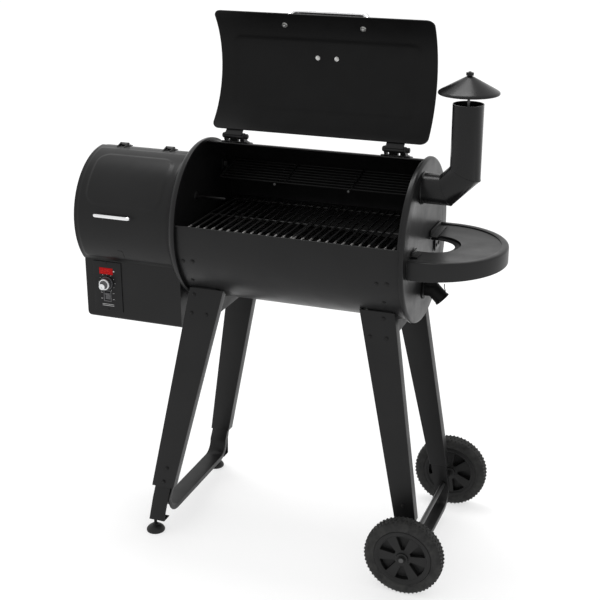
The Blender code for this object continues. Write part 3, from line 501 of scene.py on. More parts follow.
def corner_rows(radius, start, end, left, right, round_off, middle):
    """Rows for a pressed sheet whose four corners are rounded."""
    degrees = 180 / math.pi / radius
    low, high = [], []
    for n in range(9):
        turn = math.radians(90 * n / 8)
        inset = round_off * (1 - math.sin(turn))
        step = round_off * (1 - math.cos(turn)) * degrees
        low.append((start + step, left + inset, right - inset))
        high.append((end - step, left + inset, right - inset))
    first, final = low[-1][0], high[-1][0]
    between = [(first + (final - first) * n / middle, left, right) for n in range(1, middle)]
    return low + between + high[::-1]


def smooth_step(value):
    value = max(0.0, min(1.0, value))
    return value * value * (3 - 2 * value)


def pressed_panel(radius, left, right, start, end, corner, height, slope):
    """How far a panel with rounded corners is pressed out, as a function of (x, angle)."""
    mid_x, half_x = (left + right) / 2, (right - left) / 2
    mid_a, half_s = (start + end) / 2, math.radians(end - start) / 2 * radius

    def lift(x, angle):
        dx = abs(x - mid_x) - half_x + corner
        ds = abs(math.radians(angle - mid_a)) * radius - half_s + corner
        outside = math.hypot(max(dx, 0), max(ds, 0)) + min(max(dx, ds), 0) - corner
        return height * smooth_step(-outside / slope)
    return lift


def finished(name, bm, material, angle=35.0):
    bmesh.ops.remove_doubles(bm, verts=bm.verts, dist=1e-7)
    bmesh.ops.recalc_face_normals(bm, faces=bm.faces)
    mesh = bpy.data.meshes.new(name)
    bm.to_mesh(mesh)
    bm.free()
    mesh.shade_smooth()
    mesh.set_sharp_from_angle(angle=math.radians(angle))
    mesh.materials.append(MAT[material])
    return linked(name, mesh)


def placed(item, body, replaces):
    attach(item, body)
    if replaces:
        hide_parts(replaces)
    return item


def piece(name, shape, slot, replaces=None, body="grill", material=None, angle=35.0):
    """A piece of the visual model, from one shape or several in the barrel's frame."""
    bm = joined(shape) if isinstance(shape, list) else shape
    bmesh.ops.translate(bm, verts=bm.verts, vec=(MID, 0, 0))
    return placed(finished(name, bm, material or slot, angle), body, replaces)


def refined(node, slot, width, segments=2, body="grill", material=None):
    """Stands for a CAD node: its own shape with the sharp edges rounded."""
    bm = bmesh.new()
    bm.from_mesh(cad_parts[node].data)
    bmesh.ops.remove_doubles(bm, verts=bm.verts, dist=1e-6)
    bmesh.ops.dissolve_limit(bm, angle_limit=math.radians(0.6), verts=bm.verts, edges=bm.edges)
    if width:
        rounded(bm, width, segments)
    return placed(finished(f"{node}_look", bm, material or slot), body, node)


def bolted(name, heads, body="grill", slot="pin_steel"):
    """Small black fittings, as one piece."""
    piece(name, heads, slot, body=body, material="bolt_black")


# Studio

def studio():
    view = bpy.context.scene
    view.view_settings.view_transform = "Standard"
    world = bpy.data.worlds.new("studio")
    world.use_nodes = True
    background = world.node_tree.nodes["Background"]
    background.inputs["Color"].default_value = (1.0, 1.0, 1.0, 1.0)
    background.inputs["Strength"].default_value = 1.0
    view.world = world

    half = 60
    floor = bpy.data.meshes.new("studio_floor")
    floor.from_pydata([(-half, -half, 0), (half, -half, 0), (half, half, 0), (-half, half, 0)], [],
                      [(0, 1, 2, 3)])
    floor_item = linked("studio_floor", floor)
    tree, shader = node_material("studio_floor", grey(0.45), 0.7, Specular_IOR_Level=0.1,
                                 Emission_Color=(1.0, 1.0, 1.0, 1.0), Emission_Strength=0.58)
    vary_roughness(tree, shader, noise(tree, 3.0), 0.6, 0.8)
    floor.materials.append(MAT["studio_floor"])

    light = bpy.data.lights.new("overhead", "AREA")
    light.shape = "RECTANGLE"
    light.size, light.size_y, light.energy = 2.1, 1.0, 48.0
    lamp = linked("overhead", light)
    lamp.location = (-0.50, 0.66, 4.1)
    lamp.rotation_euler = (math.radians(-12), 0, 0)

    camera = bpy.data.cameras.new("camera")
    camera.sensor_width, camera.lens = 36.0, 73.77
    view.camera = linked("camera", camera)
    turn, rise = math.radians(20.62), math.radians(20.45)
    back = Vector((math.sin(turn) * math.cos(rise), -math.cos(turn) * math.cos(rise), math.sin(rise)))
    view.camera.location = (0.9816 + MID, -2.6921, 1.6939)
    view.camera.rotation_euler = back.to_track_quat("Z", "Y").to_euler()


# Barrel

def barrel():
    """Shell with the grates' ledges and the rack's arms, the opening's hems, and bolts."""
    middle_r = BARREL_R - SHEET / 2
    sheet = bent_sheet(BARREL_R, OPENING_FRONT, 360 + OPENING_REAR, BARREL_LEFT, BARREL_RIGHT, 150)
    ledge_low, ledge_high, half = 0.8207, 0.8227, 0.27
    shapes = [block((-half, -middle_r, ledge_low), (half, -0.158, ledge_high)),
              block((-half, 0.153, ledge_low), (half, middle_r, ledge_high))]
    front, rear, rise = 0.044, 0.149, math.tan(RACK_SLOPE)
    for x in RACK_ARMS:
        arm = [(y, 0.9031 + rise * (y - RACK_SPOT[0])) for y in (front, rear)]
        arm += [(rear + 0.011, arm[1][1] - 0.017), (front, arm[0][1] - 0.006)]
        shapes.append(prism(arm, "x", x - 0.0015, x + 0.0015))
    opening_right = 0.269
    shapes.append(bent_sheet(BARREL_R, 80, 175, opening_right, BARREL_RIGHT, 48))
    shell = rounded(fused(sheet, *shapes), 0.0006)
    piece("barrel_skin", shell, "body_paint", "barrel_shell")

    hems = [pipe([on_barrel(middle_r, angle, BARREL_LEFT + 0.0005),
                  on_barrel(middle_r, angle, opening_right + 0.0005)], 0.0021, steps=14)
            for angle in (OPENING_FRONT, OPENING_REAR)]
    piece("barrel_opening_hems", hems, "body_paint")

    bolts = [(-0.2629, -161.9), (-0.2375, -162.5), (-0.2532, -142.4), (0.2211, -162.8),
             (0.2462, -163.4), (0.2328, -144.7), (-0.2532, -37.6), (0.2328, -35.3)]
    bolted("barrel_bolts", [dome_bolt(on_barrel(BARREL_R, a, x), outward(a)) for x, a in bolts])


def end_cap(side, rim, face, fillet):
    """Dished cap with its rim turned in; side is -1 for the left end and 1 for the right."""
    centre = (CAP_R - fillet, face - fillet)
    sheet, dish, chamfer = 0.003, 0.0012, 0.0007
    profile = [(0, face - dish), (0.15, face - dish), (0.156, face - dish / 2), (0.162, face)]
    profile += arc(centre, fillet, 90, 0, 10)
    profile += [(CAP_R, rim + chamfer), (CAP_R - chamfer, rim), (0.191, rim), (0.191, rim + sheet)]
    profile += arc(centre, fillet - sheet, 0, 90, 8)
    profile += [(0.16, face - sheet), (0.15, face - sheet - dish), (0, face - sheet - dish)]
    return turned([(radius, side * along) for radius, along in profile], "x", (0, AXIS_Z), 128)


def end_caps():
    left = cut(end_cap(-1, 0.277, 0.298, 0.018), disc("x", AUGER_SPOT, 0.0223, -0.308, -0.278),
               disc("x", FAN_SPOT, 0.0265, -0.308, -0.278))
    piece("left_cap", left, "body_paint", "left_end_cap")
    right = cut(end_cap(1, 0.276, 0.286, 0.007), disc("x", CHIMNEY_SPOT, 0.0353, 0.266, 0.296),
                disc("x", (0, DRAIN_Z), 0.0183, 0.266, 0.296))
    piece("right_cap", right, "body_paint", "right_end_cap")


def grip_path(foot, reach, angle, left, right, bend, steps):
    """A bar handle's line, from one foot on the sheet to the other."""
    ends = [(foot, left), (reach, left), (reach, right), (foot, right)]
    return smooth_path([on_barrel(radius, angle, x) for radius, x in ends], bend, steps)


def opened(bm):
    return swung(bm, *LID_SPOT, -LID_SWING)


def lid_piece(name, shape, slot="lid_paint", replaces=None, material=None):
    """A piece of the lid, drawn shut and swung open."""
    shape = opened(joined(shape) if isinstance(shape, list) else shape)
    return piece(name, shape, slot, replaces, "lid", material)


def flat(x, angle):
    """The lift of a sheet with nothing pressed into it."""
    return 0.0


def barrel_lid():
    """Lid drawn shut, with its stiffening panel, then swung open."""
    panel = pressed_panel(LID_R, -0.238, 0.236, 103, 157, 0.022, 0.0016, 0.008)
    rows = corner_rows(LID_R, 84.2, 178.0, -0.2755, 0.2725, 0.019, 56)
    sheet = pressed_sheet(LID_R, rows, 84, panel)
    bmesh.ops.recalc_face_normals(sheet, faces=sheet.faces)
    # Faces on the inside of the lid take the second paint, which is painted shade.
    for face in sheet.faces:
        centre = face.calc_center_median() - Vector((0, 0, AXIS_Z))
        inside = face.normal.y * centre.y + face.normal.z * centre.z < -0.1
        face.material_index = int(inside)
    item = lid_piece("lid_skin", rounded(sheet, 0.0007, 2, 50), replaces="lid_shell")
    item.data.materials.append(MAT["lid_inner_shade"])

    route = grip_path(LID_R + 0.0003, 0.242, GRIP_ANGLE, -GRIP_HALF, GRIP_HALF, 0.02, 8)
    lid_piece("lid_grip", pipe(route, 0.0065, steps=28), "handle_chrome", "lid_handle")
    collar = [(0.0066, 0.0003), (0.0105, 0.0003), (0.0105, 0.0022), (0.0085, 0.004), (0.0066, 0.004)]
    collars = [moved_to(turned(collar, "z", (0, 0), 32), on_barrel(LID_R, GRIP_ANGLE, x),
                        outward(GRIP_ANGLE)) for x in (-GRIP_HALF, GRIP_HALF)]
    lid_piece("lid_grip_collars", collars, "handle_chrome")

    plate_angle, plate_studs = 142.5, (-0.024, 0.024)
    held = [(x, GRIP_ANGLE, 0.0058) for x in (-GRIP_HALF, GRIP_HALF)]
    held += [(x, plate_angle, 0.0045) for x in plate_studs]
    nuts = [hex_nut(on_barrel(LID_R - SHEET + panel(x, angle), angle, x), -outward(angle), size)
            for x, angle, size in held]
    lid_piece("lid_nuts", nuts, "handle_chrome", material="nut_chrome")
    rows = corner_rows(0.1976, plate_angle - 4, plate_angle + 4, -0.045, 0.045, 0.006, 8)
    plate = rounded(pressed_sheet(0.1981, rows, 20, flat), 0.0005, 2, 50)
    lid_piece("lid_blank_plate", plate, material="panel_plastic")
    studs = [dome_bolt(on_barrel(0.1979, plate_angle, x), outward(plate_angle), 0.003, 0.0018)
             for x in plate_studs]
    lid_piece("lid_plate_studs", studs, material="nut_chrome")


def hinges():
    """Lid hinges with their bolts, and two dark blocks and a pin cap at each."""
    for name in ("left", "right"):
        refined(f"lid_hinge_base_{name}", "body_paint", 0.0006)
        refined(f"lid_hinge_leaf_{name}", "body_paint", 0.0006, body="lid")
        refined(f"lid_hinge_pin_{name}", "pin_steel", 0.0003, material="bolt_black")
    base_r, bolt_y = 0.1933, 0.053
    angle = math.degrees(math.atan2(math.sqrt(base_r ** 2 - bolt_y ** 2), bolt_y))
    feet, stops, caps, leaves = [], [], [], []
    for x in LID_HINGES:
        for shift in (-0.026, 0.026):
            feet.append(dome_bolt(on_barrel(base_r, angle, x + shift), outward(angle), 0.0034, 0.002))
        # Two dark blocks in the bolts' black sit below and behind each hinge pin.
        for low, high in ((-0.019, 0.003), (0.0085, 0.019)):
            stop = block((x + low, 0.042, 0.9985), (x + high, 0.052, 1.0072))
            stops.append(rounded(stop, 0.0008))
        end = x + 0.031
        nut = [(0, end), (0.0064, end), (0.0064, end + 0.0028), (0.005, end + 0.0046), (0, end + 0.0052)]
        caps.append(turned(nut, "x", LID_SPOT, 24))
        for shift in (-0.013, 0.013):
            leaves.append(dome_bolt((x + shift, 0.004, 1.0102), (0, 0, 1), 0.003, 0.0018))
    bolted("hinge_base_bolts", feet)
    bolted("hinge_dark_blocks", stops, slot="body_paint")
    bolted("hinge_pin_caps", caps)
    lid_piece("hinge_leaf_bolts", leaves, "body_paint", material="bolt_black")


# Inside the barrel

def on_rack(along, up):
    """(Y, Z) of a point along the rack from its front edge and above its underside."""
    rise, run = math.sin(RACK_SLOPE), math.cos(RACK_SLOPE)
    return RACK_SPOT[0] + along * run - up * rise, RACK_SPOT[1] + along * rise + up * run


def grates():
    """Two cooking grates and the warming rack, each of rods on cross rods."""
    front, rear, rod, cross = -0.165, 0.16, 0.0025, 0.0022
    for name, left, right in (("left", -0.268, -0.001), ("right", 0.001, 0.268)):
        span = right - left - 2 * rod
        count = round(span / 0.02)
        rods = []
        for n in range(count + 1):
            x = left + rod + span * n / count
            rods.append(pipe([(x, front, 0.8255), (x, rear, 0.8255)], rod, round_ends=0.0015))
        for y in (-0.1525, -0.004, 0.1475):
            rods.append(pipe([(left, y, 0.8212), (right, y, 0.8212)], cross, round_ends=0.0012))
        piece(f"grate_{name}_wires", rods, "grate_enamel", f"cooking_grate_{name}", body=f"grate_{name}")

    wire, half = 0.002, 0.262
    wires = []
    for n in range(8):
        y, z = on_rack(0.002 + 0.097 * n / 7, wire)
        wires.append(pipe([(-half, y, z), (half, y, z)], wire, round_ends=0.0012))
    for x in (-0.26, -0.0867, 0.0867, 0.26):
        ends = [(x, *on_rack(along, 0.0042)) for along in (0, 0.101)]
        wires.append(pipe(ends, wire, round_ends=0.0012))
    piece("rack_wires", wires, "grate_enamel", "warming_rack", body="warming_rack", material="rack_enamel")
    tips = [dome_bolt((x, 0.0435, 0.9005), (0, -1, 0.1), 0.0022, 0.0016) for x in RACK_ARMS]
    piece("rack_arm_rivets", tips, "body_paint", material="pin_steel")


def fittings():
    refined("grease_tray", "inner_steel", 0.0004, body="grease_tray")
    refined("heat_baffle", "inner_steel", 0.0004, body="heat_baffle")
    for node in ("fire_pot", "igniter_rod", "auger_tube", "auger_motor", "pellet_bin", "hopper_guard"):
        refined(node, "inner_steel", 0.0004)
    refined("temperature_probe", "pin_steel", 0.0003, material="bolt_black")
    refined("auger_screw", "inner_steel", 0, body="auger")
    refined("fan_frame", "fan_plastic", 0.0006)
    refined("fan_rotor", "fan_plastic", 0, body="fan")
    bore, wall = 0.0031, -0.2948
    bush = [(bore, wall), (0.0115, wall), (0.0115, wall + 0.0018), (0.0085, wall + 0.0033),
            (bore, wall + 0.0033)]
    piece("probe_bush", turned(bush, "x", (-0.03, 0.872), 28), "pin_steel")
    clip = [block((-0.295, 0.128, 0.902), (-0.2925, 0.158, 0.928)),
            block((-0.295, 0.136, 0.908), (-0.283, 0.139, 0.922))]
    piece("inner_wall_clip", rounded(fused(*clip), 0.0005), "body_paint")


# Hopper and controls

def keyhole(radius, half, floor, corner):
    """The hopper's end: a circle about the barrel's axis, run down into a box."""
    meet = math.degrees(math.asin(math.sqrt(radius ** 2 - half ** 2) / radius))
    outline = arc((0, AXIS_Z), radius, -meet, 180 + meet, 110)
    outline += arc((-half + corner, floor + corner), corner, 180, 270, 6)
    outline += arc((half - corner, floor + corner), corner, 270, 360, 6)
    return outline


def corner_cutter(left, floor, radius):
    """What rounds the housing's bottom left corner, as seen from the cook's side."""
    outline = [(left - 0.002, floor - 0.002), (left + radius, floor - 0.002)]
    outline += arc((left + radius, floor + radius), radius, 270, 180, 8)
    outline.append((left - 0.002, floor + radius))
    return prism(outline, "y", -0.14, 0.14)


def hopper_box():
    """Housing, open where the hopper lid covers it, with the holes for what goes through."""
    half, floor = 0.119, HOPPER_FLOOR
    outside = prism(keyhole(HOPPER_R, half, floor, 0.008), "x", HOPPER_LEFT, HOPPER_RIGHT)
    outside = rounded(outside, 0.0035, 4, 60)
    inner_left, inner_floor = HOPPER_LEFT + SHEET, floor + SHEET
    inside = cut(prism(keyhole(HOPPER_R - SHEET, half - SHEET, inner_floor, 0.006), "x",
                       inner_left, HOPPER_RIGHT - SHEET),
                 corner_cutter(inner_left, inner_floor, 0.0115))
    mouth = arc((0, AXIS_Z), HOPPER_R + 0.02, 90, 219, 48)
    mouth += arc((0, AXIS_Z), HOPPER_R - 0.03, 219, 90, 48)
    panel_hole = block((-0.541, -0.129, 0.576), (-0.47, -0.109, 0.7))
    inlet_hole = block((-0.4555, 0.109, 0.5915), (-0.4245, 0.129, 0.6145))
    shell = cut(outside, corner_cutter(HOPPER_LEFT, floor, 0.014), inside,
                prism(mouth, "x", -0.5649, -0.3061), panel_hole, inlet_hole,
                disc("x", AUGER_SPOT, 0.0223, -0.3155, -0.293),
                disc("x", FAN_SPOT, 0.0255, -0.3155, -0.293))
    piece("hopper_skin", shell, "hopper_paint", "hopper_housing")


def hopper_cover():
    """Curved hopper lid with its pressed panel and bead, ears, handle and tab."""
    radius = HOPPER_LID_R
    panel = pressed_panel(radius, -0.541, -0.33, 109, 163, 0.034, 0.0022, 0.007)
    bead = pressed_panel(radius, -0.559, -0.311, 97, 216, 0.01, 0.0013, 0.004)
    rows = [(89 + 131 * n / 90, HOPPER_LEFT, HOPPER_RIGHT) for n in range(91)]
    lid = pressed_sheet(radius, rows, 100, lambda x, angle: panel(x, angle) + bead(x, angle))
    lid = rounded(lid, 0.0008, 2, 50)
    ear = arc(HOPPER_SPOT, 0.005, -40, 130, 10)
    ear += [(-0.01, 0.9736), (-0.01, 0.9716), (0.004, 0.972)]
    ears = []
    for x in HOPPER_HINGES:
        for side in (-1, 1):
            near, far = sorted((x + side * 0.0085, x + side * 0.0115))
            ears.append(prism(ear, "x", near, far))
    lid = cut(fused(lid, *ears), disc("x", HOPPER_SPOT, 0.0026, -0.53, -0.36, 20))
    piece("hopper_lid_skin", lid, "hopper_paint", "hopper_lid", body="hopper_lid")
    route = grip_path(radius + 0.0003, radius + 0.016, 171, -0.503, -0.409, 0.006, 6)
    piece("hopper_grip", pipe(route, 0.0045, steps=24), "handle_chrome", "hopper_lid_handle",
          body="hopper_lid")
    tab = pressed_sheet(0.1622, corner_rows(0.1622, 204, 214, -0.462, -0.444, 0.006, 4), 10, flat)
    piece("hopper_lid_tab", rounded(tab, 0.0006, 2, 50), "hopper_paint", body="hopper_lid")


def hopper():
    hopper_box()
    hopper_cover()
    for name in ("left", "right"):
        refined(f"hopper_hinge_{name}", "pin_steel", 0.0004)
    bolted("hopper_hinge_screws",
           [dome_bolt((x + shift, 0.0325, 0.96935), (0, 0.21, 0.98), 0.0024, 0.0014)
            for x in HOPPER_HINGES for shift in (-0.0045, 0.0045)])
    refined("power_inlet", "panel_plastic", 0.0006)
    pins = [block((x - 0.0006, 0.103, z - 0.002), (x + 0.0006, 0.1165, z + 0.002))
            for x, z in ((-0.445, 0.6015), (-0.435, 0.6015), (-0.44, 0.6055))]
    piece("inlet_pins", pins, "panel_plastic", material="nut_chrome")
    screws = [dome_bolt((x, 0.1215, 0.603), (0, 1, 0), 0.0016, 0.001) for x in (-0.457, -0.423)]
    bolted("inlet_screws", screws, slot="panel_plastic")


SEGMENTS = {"2": "abged", "5": "afgcd", "0": "abcdef"}


def digit(symbol, x, z):
    """One seven-segment digit on the display's face."""
    width, height, bar, trim = 0.0062, 0.011, 0.0011, 0.00018
    middle, right, top = z + height / 2, x + width, z + height
    spans = {"a": (x, right, top - bar, top), "d": (x, right, z, z + bar),
             "g": (x, right, z + (height - bar) / 2, z + (height + bar) / 2),
             "f": (x, x + bar, middle, top), "e": (x, x + bar, z, middle),
             "b": (right - bar, right, middle, top), "c": (right - bar, right, z, middle)}
    return [block((near + trim, -0.12225, low + trim), (far - trim, -0.1216, high - trim))
            for near, far, low, high in (spans[key] for key in SEGMENTS[symbol])]


def dial():
    """Dark skirted body with a silver rim and an off-centre finger disc."""
    face = -0.122
    skirt = [(0, 0), (0.0172, 0), (0.0175, 0.0006), (0.0175, 0.0034), (0.0172, 0.004),
             (0.0155, 0.0046), (0.015, 0.006), (0.0138, 0.016), (0.013, 0.0172),
             (0.0118, 0.0176), (0.0108, 0.017), (0, 0.0162)]
    rim = [(0.0118, 0.0168), (0.0141, 0.014), (0.0143, 0.0156), (0.0136, 0.0174),
           (0.0124, 0.018), (0.0114, 0.0176)]
    cap = [(0, 0.0155), (0.008, 0.0155), (0.008, 0.0176), (0.0074, 0.01795), (0.006, 0.0176),
           (0.003, 0.0172), (0, 0.0171)]
    shapes = [turned([(radius, face - out) for radius, out in profile], "y", centre, steps)
              for profile, centre, steps in ((skirt, DIAL_SPOT, 64), (rim, DIAL_SPOT, 64),
                                             (cap, (DIAL_SPOT[0] - 0.006, DIAL_SPOT[1] - 0.0066), 40))]
    piece("dial_body", shapes[0], "dial_silver", "temperature_dial", body="dial", material="dial_dark")
    piece("dial_rim", shapes[1], "dial_silver", body="dial")
    piece("dial_finger_disc", shapes[2], "dial_silver", body="dial")


def panel_print():
    """The dial's scale, and plain bars where the real panel has its words."""
    marks = []
    for n in range(11):
        turn = math.radians(-60 + 30 * n)
        outer = 0.0228 if n % 2 else 0.0243
        mark = block((0.0212, PRINT_FRONT, -0.0004), (outer, PRINT_BACK, 0.0004))
        bmesh.ops.rotate(mark, verts=mark.verts, cent=(0, 0, 0), matrix=Matrix.Rotation(-turn, 3, "Y"))
        bmesh.ops.translate(mark, verts=mark.verts, vec=(DIAL_SPOT[0], 0, DIAL_SPOT[1]))
        marks.append(mark)
    bars = [(-0.507, z, 0.0165, 0.0005) for z in (0.59, 0.5862)]
    bars += [(x, z, 0.0026, 0.0004) for x in (-0.524, -0.4905) for z in (0.6205, 0.6045)]
    marks += [block((x - long, PRINT_FRONT, z - high), (x + long, PRINT_BACK, z + high))
              for x, z, long, high in bars]
    piece("panel_marks", marks, "panel_plastic", material="print_white")


def controls():
    refined("control_box", "panel_plastic", 0.0008, 3)
    refined("display_window", "display_red", 0.0004)
    strokes = []
    for n, symbol in enumerate("225"):
        strokes += digit(symbol, -0.5225 + 0.0092 * n, 0.673)
    piece("display_digits", strokes, "display_red", material="digit_red")
    lamp = [(0, -0.1217), (0.002, -0.1217), (0.002, -0.1222), (0.0014, -0.1228), (0, -0.123)]
    piece("indicator_lamp", turned(lamp, "y", (-0.4865, 0.68), 20), "panel_plastic", material="print_white")
    dial()
    panel_print()
    bezel = cut(block((-0.5185, -0.1223, 0.5975), (-0.4965, PRINT_BACK, 0.6275)),
                block((-0.5158, -0.13, 0.6002), (-0.4992, -0.11, 0.6248)))
    piece("switch_bezel", rounded(bezel, 0.0004), "panel_plastic", material="switch_grey")
    refined("power_switch", "panel_plastic", 0.0005, body="switch", material="switch_grey")
    screws = [dome_bolt((DIAL_SPOT[0], -0.1215, z), (0, -1, 0), 0.0022, 0.0012) for z in (0.7, 0.5765)]
    bolted("panel_screws", screws, slot="panel_plastic")


# Legs, feet and wheels

def leg_spot(side, share, across):
    """A point on the front face of a front leg, and that face's outward way."""
    leg = LEGS[side]
    fall = LEG_TOP_Z - leg["low_z"]
    width = leg["top_w"] + share * (leg["low_w"] - leg["top_w"])
    spot = Vector((leg["top_x"] + share * (leg["low_x"] - leg["top_x"]) + across * width,
                   LEG_TOP_Y + share * (leg["low_y"] - LEG_TOP_Y), LEG_TOP_Z - share * fall))
    return spot, Vector((0, -fall, leg["low_y"] - LEG_TOP_Y)).normalized()


def legs():
    for end in ("front", "rear"):
        for side in ("left", "right"):
            refined(f"leg_{end}_{side}", "leg_paint", 0.0011, 3)
    for node in ("saddle_left", "saddle_right", "foot_cross_bar", "axle_cross_bar"):
        refined(node, "leg_paint", 0.0009)
    places = {"left": ((0.041, -0.34), (0.128, -0.3), (0.128, 0.17), (0.904, 0.02), (0.974, 0)),
              "right": ((0.038, 0.16), (0.129, -0.32), (0.129, 0.18), (0.925, 0))}
    heads = []
    for side, shares in places.items():
        for share, across in shares:
            spot, way = leg_spot(side, share, across)
            for sign in (1, -1):
                heads.append(dome_bolt((spot.x, sign * spot.y, spot.z), (0, sign * way.y, way.z)))
    bolted("leg_bolts", heads, slot="leg_paint")
    for end in ("front", "rear"):
        refined(f"foot_bracket_{end}", "leg_paint", 0.0007)


def levelling_feet():
    """Domed pads on threaded rods, each with a lock nut under its bracket."""
    pad = [(0, 0), (0.0215, 0), (0.0234, 0.0008), (0.024, 0.0024), (0.024, 0.005),
           (0.0232, 0.0066), (0.0215, 0.0095), (0.0175, 0.0132), (0.0125, 0.016), (0.01, 0.0172),
           (0.0082, 0.0176), (0.0082, 0.02), (0.0038, 0.0214)]
    z, pitch = 0.022, 0.0012
    while z < 0.0515:
        pad += [(0.004, z), (0.0033, z + pitch / 2)]
        z += pitch
    pad += [(0.003, 0.0528), (0, 0.053)]
    for end, y in (("front", -0.19), ("rear", 0.19)):
        centre = (-0.364, y)
        piece(f"foot_{end}_pad", turned(pad, "z", centre, 48), "foot_plastic", f"levelling_foot_{end}",
              body=f"foot_{end}", angle=50)
        nut = rounded(disc("z", centre, 0.0072, 0.0403, 0.0448, 6), 0.0004)
        nut = cut(nut, disc("z", centre, 0.0043, 0.03, 0.06, 24))
        piece(f"foot_{end}_nut", nut, "pin_steel")


def tyre(middle_y, centre):
    """Smooth sidewalls and three rows of tread blocks, the middle row staggered."""
    blocks, groove, top, tread_half, crown_drop = 58, 0.0949, 0.097, 0.0148, 0.0012
    pitch = 2 * math.pi / blocks
    stops = [(0, False), (0.3, False), (0.36, True), (0.94, True)]
    side = [(0.0708, 0.0165), (0.074, 0.0178), (0.08, 0.0186), (0.087, 0.0184),
            (0.0905, 0.0172), (0.0925, 0.016)]
    rows = [(-tread_half, "side"), (-0.0098, "side"), (-0.0092, None), (-0.0052, None),
            (-0.0046, "middle"), (0.0046, "middle"), (0.0052, None), (0.0092, None),
            (0.0098, "side"), (tread_half, "side")]
    bm = bmesh.new()
    rings = []
    for n in range(blocks * 2):
        high_row = "middle" if n % 2 else "side"
        for offset, raised in stops:
            angle = (n / 2 + offset / 2) * pitch
            ring = [(r, -y) for r, y in side]
            for y, row in rows:
                crest = top if raised and row == high_row else groove
                ring.append((crest - crown_drop * (abs(y) / tread_half) ** 2, y))
            ring += side[::-1]
            rings.append([bm.verts.new((centre[0] + r * math.cos(angle), middle_y + y,
                                        centre[1] + r * math.sin(angle))) for r, y in ring])
    return skin_round(bm, rings)


def hub(end, middle):
    """Dished hub with six windows pressed into each side of a thin web."""
    web = 0.001
    half = [(0.0142, 0.0208), (0.0148, 0.0202), (0.0152, 0.016), (0.016, 0.0148), (0.019, 0.0142),
            (0.059, 0.015), (0.0605, 0.0162), (0.062, 0.0174), (0.065, 0.018), (0.0695, 0.0178),
            (0.0705, 0.017)]
    outline = [(0.0065, -0.021), (0.0135, -0.021)] + [(r, -y) for r, y in half]
    outline += half[::-1] + [(0.0135, 0.021), (0.0065, 0.021)]
    windows = []
    for n in range(6):
        turn = 60 * n + (30 if end == "front" else 0)
        wedge = arc(WHEEL_SPOT, 0.0575, turn - 17, turn + 17, 10)
        wedge += arc(WHEEL_SPOT, 0.0215, turn + 9, turn - 9, 6)
        windows += [prism(wedge, "y", middle + web, middle + 0.03),
                    prism(wedge, "y", middle - 0.03, middle - web)]
    whole = turned([(r, middle + y) for r, y in outline], "y", WHEEL_SPOT, 96)
    return rounded(cut(whole, *windows), 0.0008, 2, 40)


def wheels():
    refined("wheel_axle", "pin_steel", 0.0006)
    for end, sign in (("front", -1), ("rear", 1)):
        middle = sign * WHEEL_Y
        piece(f"hub_{end}", hub(end, middle), "wheel_plastic", f"wheel_hub_{end}", body=f"wheel_{end}")
        piece(f"tread_{end}", tyre(middle, WHEEL_SPOT), "tyre_rubber", f"tyre_{end}", body=f"wheel_{end}",
              angle=50)
        near, far = 0.2503, 0.2559
        cap = [(0, near), (0.01, near), (0.01, near + 0.0012), (0.0085, near + 0.0016),
               (0.008, far - 0.0014), (0.0062, far - 0.0003), (0, far)]
        cap = turned([(radius, sign * along) for radius, along in cap], "y", WHEEL_SPOT, 32)
        bolted(f"axle_cap_{end}", [cap])


# Side shelf, chimney and drain

def shelf_tray():
    """Shelf swept round its half circle: cup hole, stepped rim, skirt and underside."""
    top, back, steps = 0.81, 0.2863, 90
    (hole_x, hole_y), (end_x, end_r) = (0.305, -0.01), (0.3145, 0.166)
    under = top - SHEET
    turns = [math.radians(-90 + 180 * n / steps) for n in range(steps + 1)]
    ways = [(True, 0, -1)] + [(False, math.cos(t), math.sin(t)) for t in turns] + [(True, 0, 1)]
    inner = [(0.0526, 0.8022), (0.052, 0.8026), (0.052, 0.804), (0.0526, 0.8045), (0.064, 0.8045),
             (0.065, 0.8052), (0.0654, 0.8092), (0.0662, top)]
    rim = [(0.018, top), (0.0174, 0.8102), (0.0172, 0.8126), (0.0166, 0.813), (0.006, 0.813),
           (0.0028, 0.8124), (0.0008, 0.8106), (0, 0.808), (0, None), (0.0006, None),
           (0.0019, None), (SHEET, None), (SHEET, 0.806), (0.004, under)]
    below = [(0.068, under), (0.0676, 0.8066), (0.0672, 0.8028), (0.0664, 0.8022)]
    bm = bmesh.new()
    rings = []
    for flank, along, across in ways:
        hem = 0.768 + 0.005 * along
        points = [(hole_x + r * along, hole_y + r * across, z) for r, z in inner]
        for n, (inset, z) in enumerate(rim):
            low = hem + (0.0006 if n in (8, 11) else 0)
            radius = end_r - inset
            points.append((end_x + radius * along, radius * across, low if z is None else z))
        points += [(hole_x + r * along, hole_y + r * across, z) for r, z in below]
        rings.append([bm.verts.new((back if flank else x, y, z)) for x, y, z in points])
    for here, there in zip(rings, rings[1:]):
        skin(bm, here, there)
    bm.faces.new(rings[0])
    bm.faces.new(rings[-1][::-1])
    return bm


def side_shelf():
    piece("shelf_tray", shelf_tray(), "shelf_paint", "side_shelf", angle=40)
    for name in ("front", "rear"):
        refined(f"shelf_bracket_{name}", "shelf_paint", 0.0006)
    bolted("shelf_bracket_bolts", [dome_bolt((0.2893, y + shift, 0.775), (1, 0, 0), 0.0038, 0.0022)
                                   for y in (-0.112, 0.1) for shift in (-0.01, 0.01)])
    back, foot, clamps = 0.2863, 0.8101, []
    for near, far, reach, high in ((-0.13, -0.09, 0.301, 0.822), (0.034, 0.128, 0.304, 0.826)):
        plate = fused(block((back, near, foot + 0.0007), (back + SHEET, far, high)),
                      block((back, near, foot), (reach, far, foot + 0.0027)))
        clamps.append(rounded(plate, 0.0006))
    bolted("shelf_clamps", clamps, slot="shelf_paint")


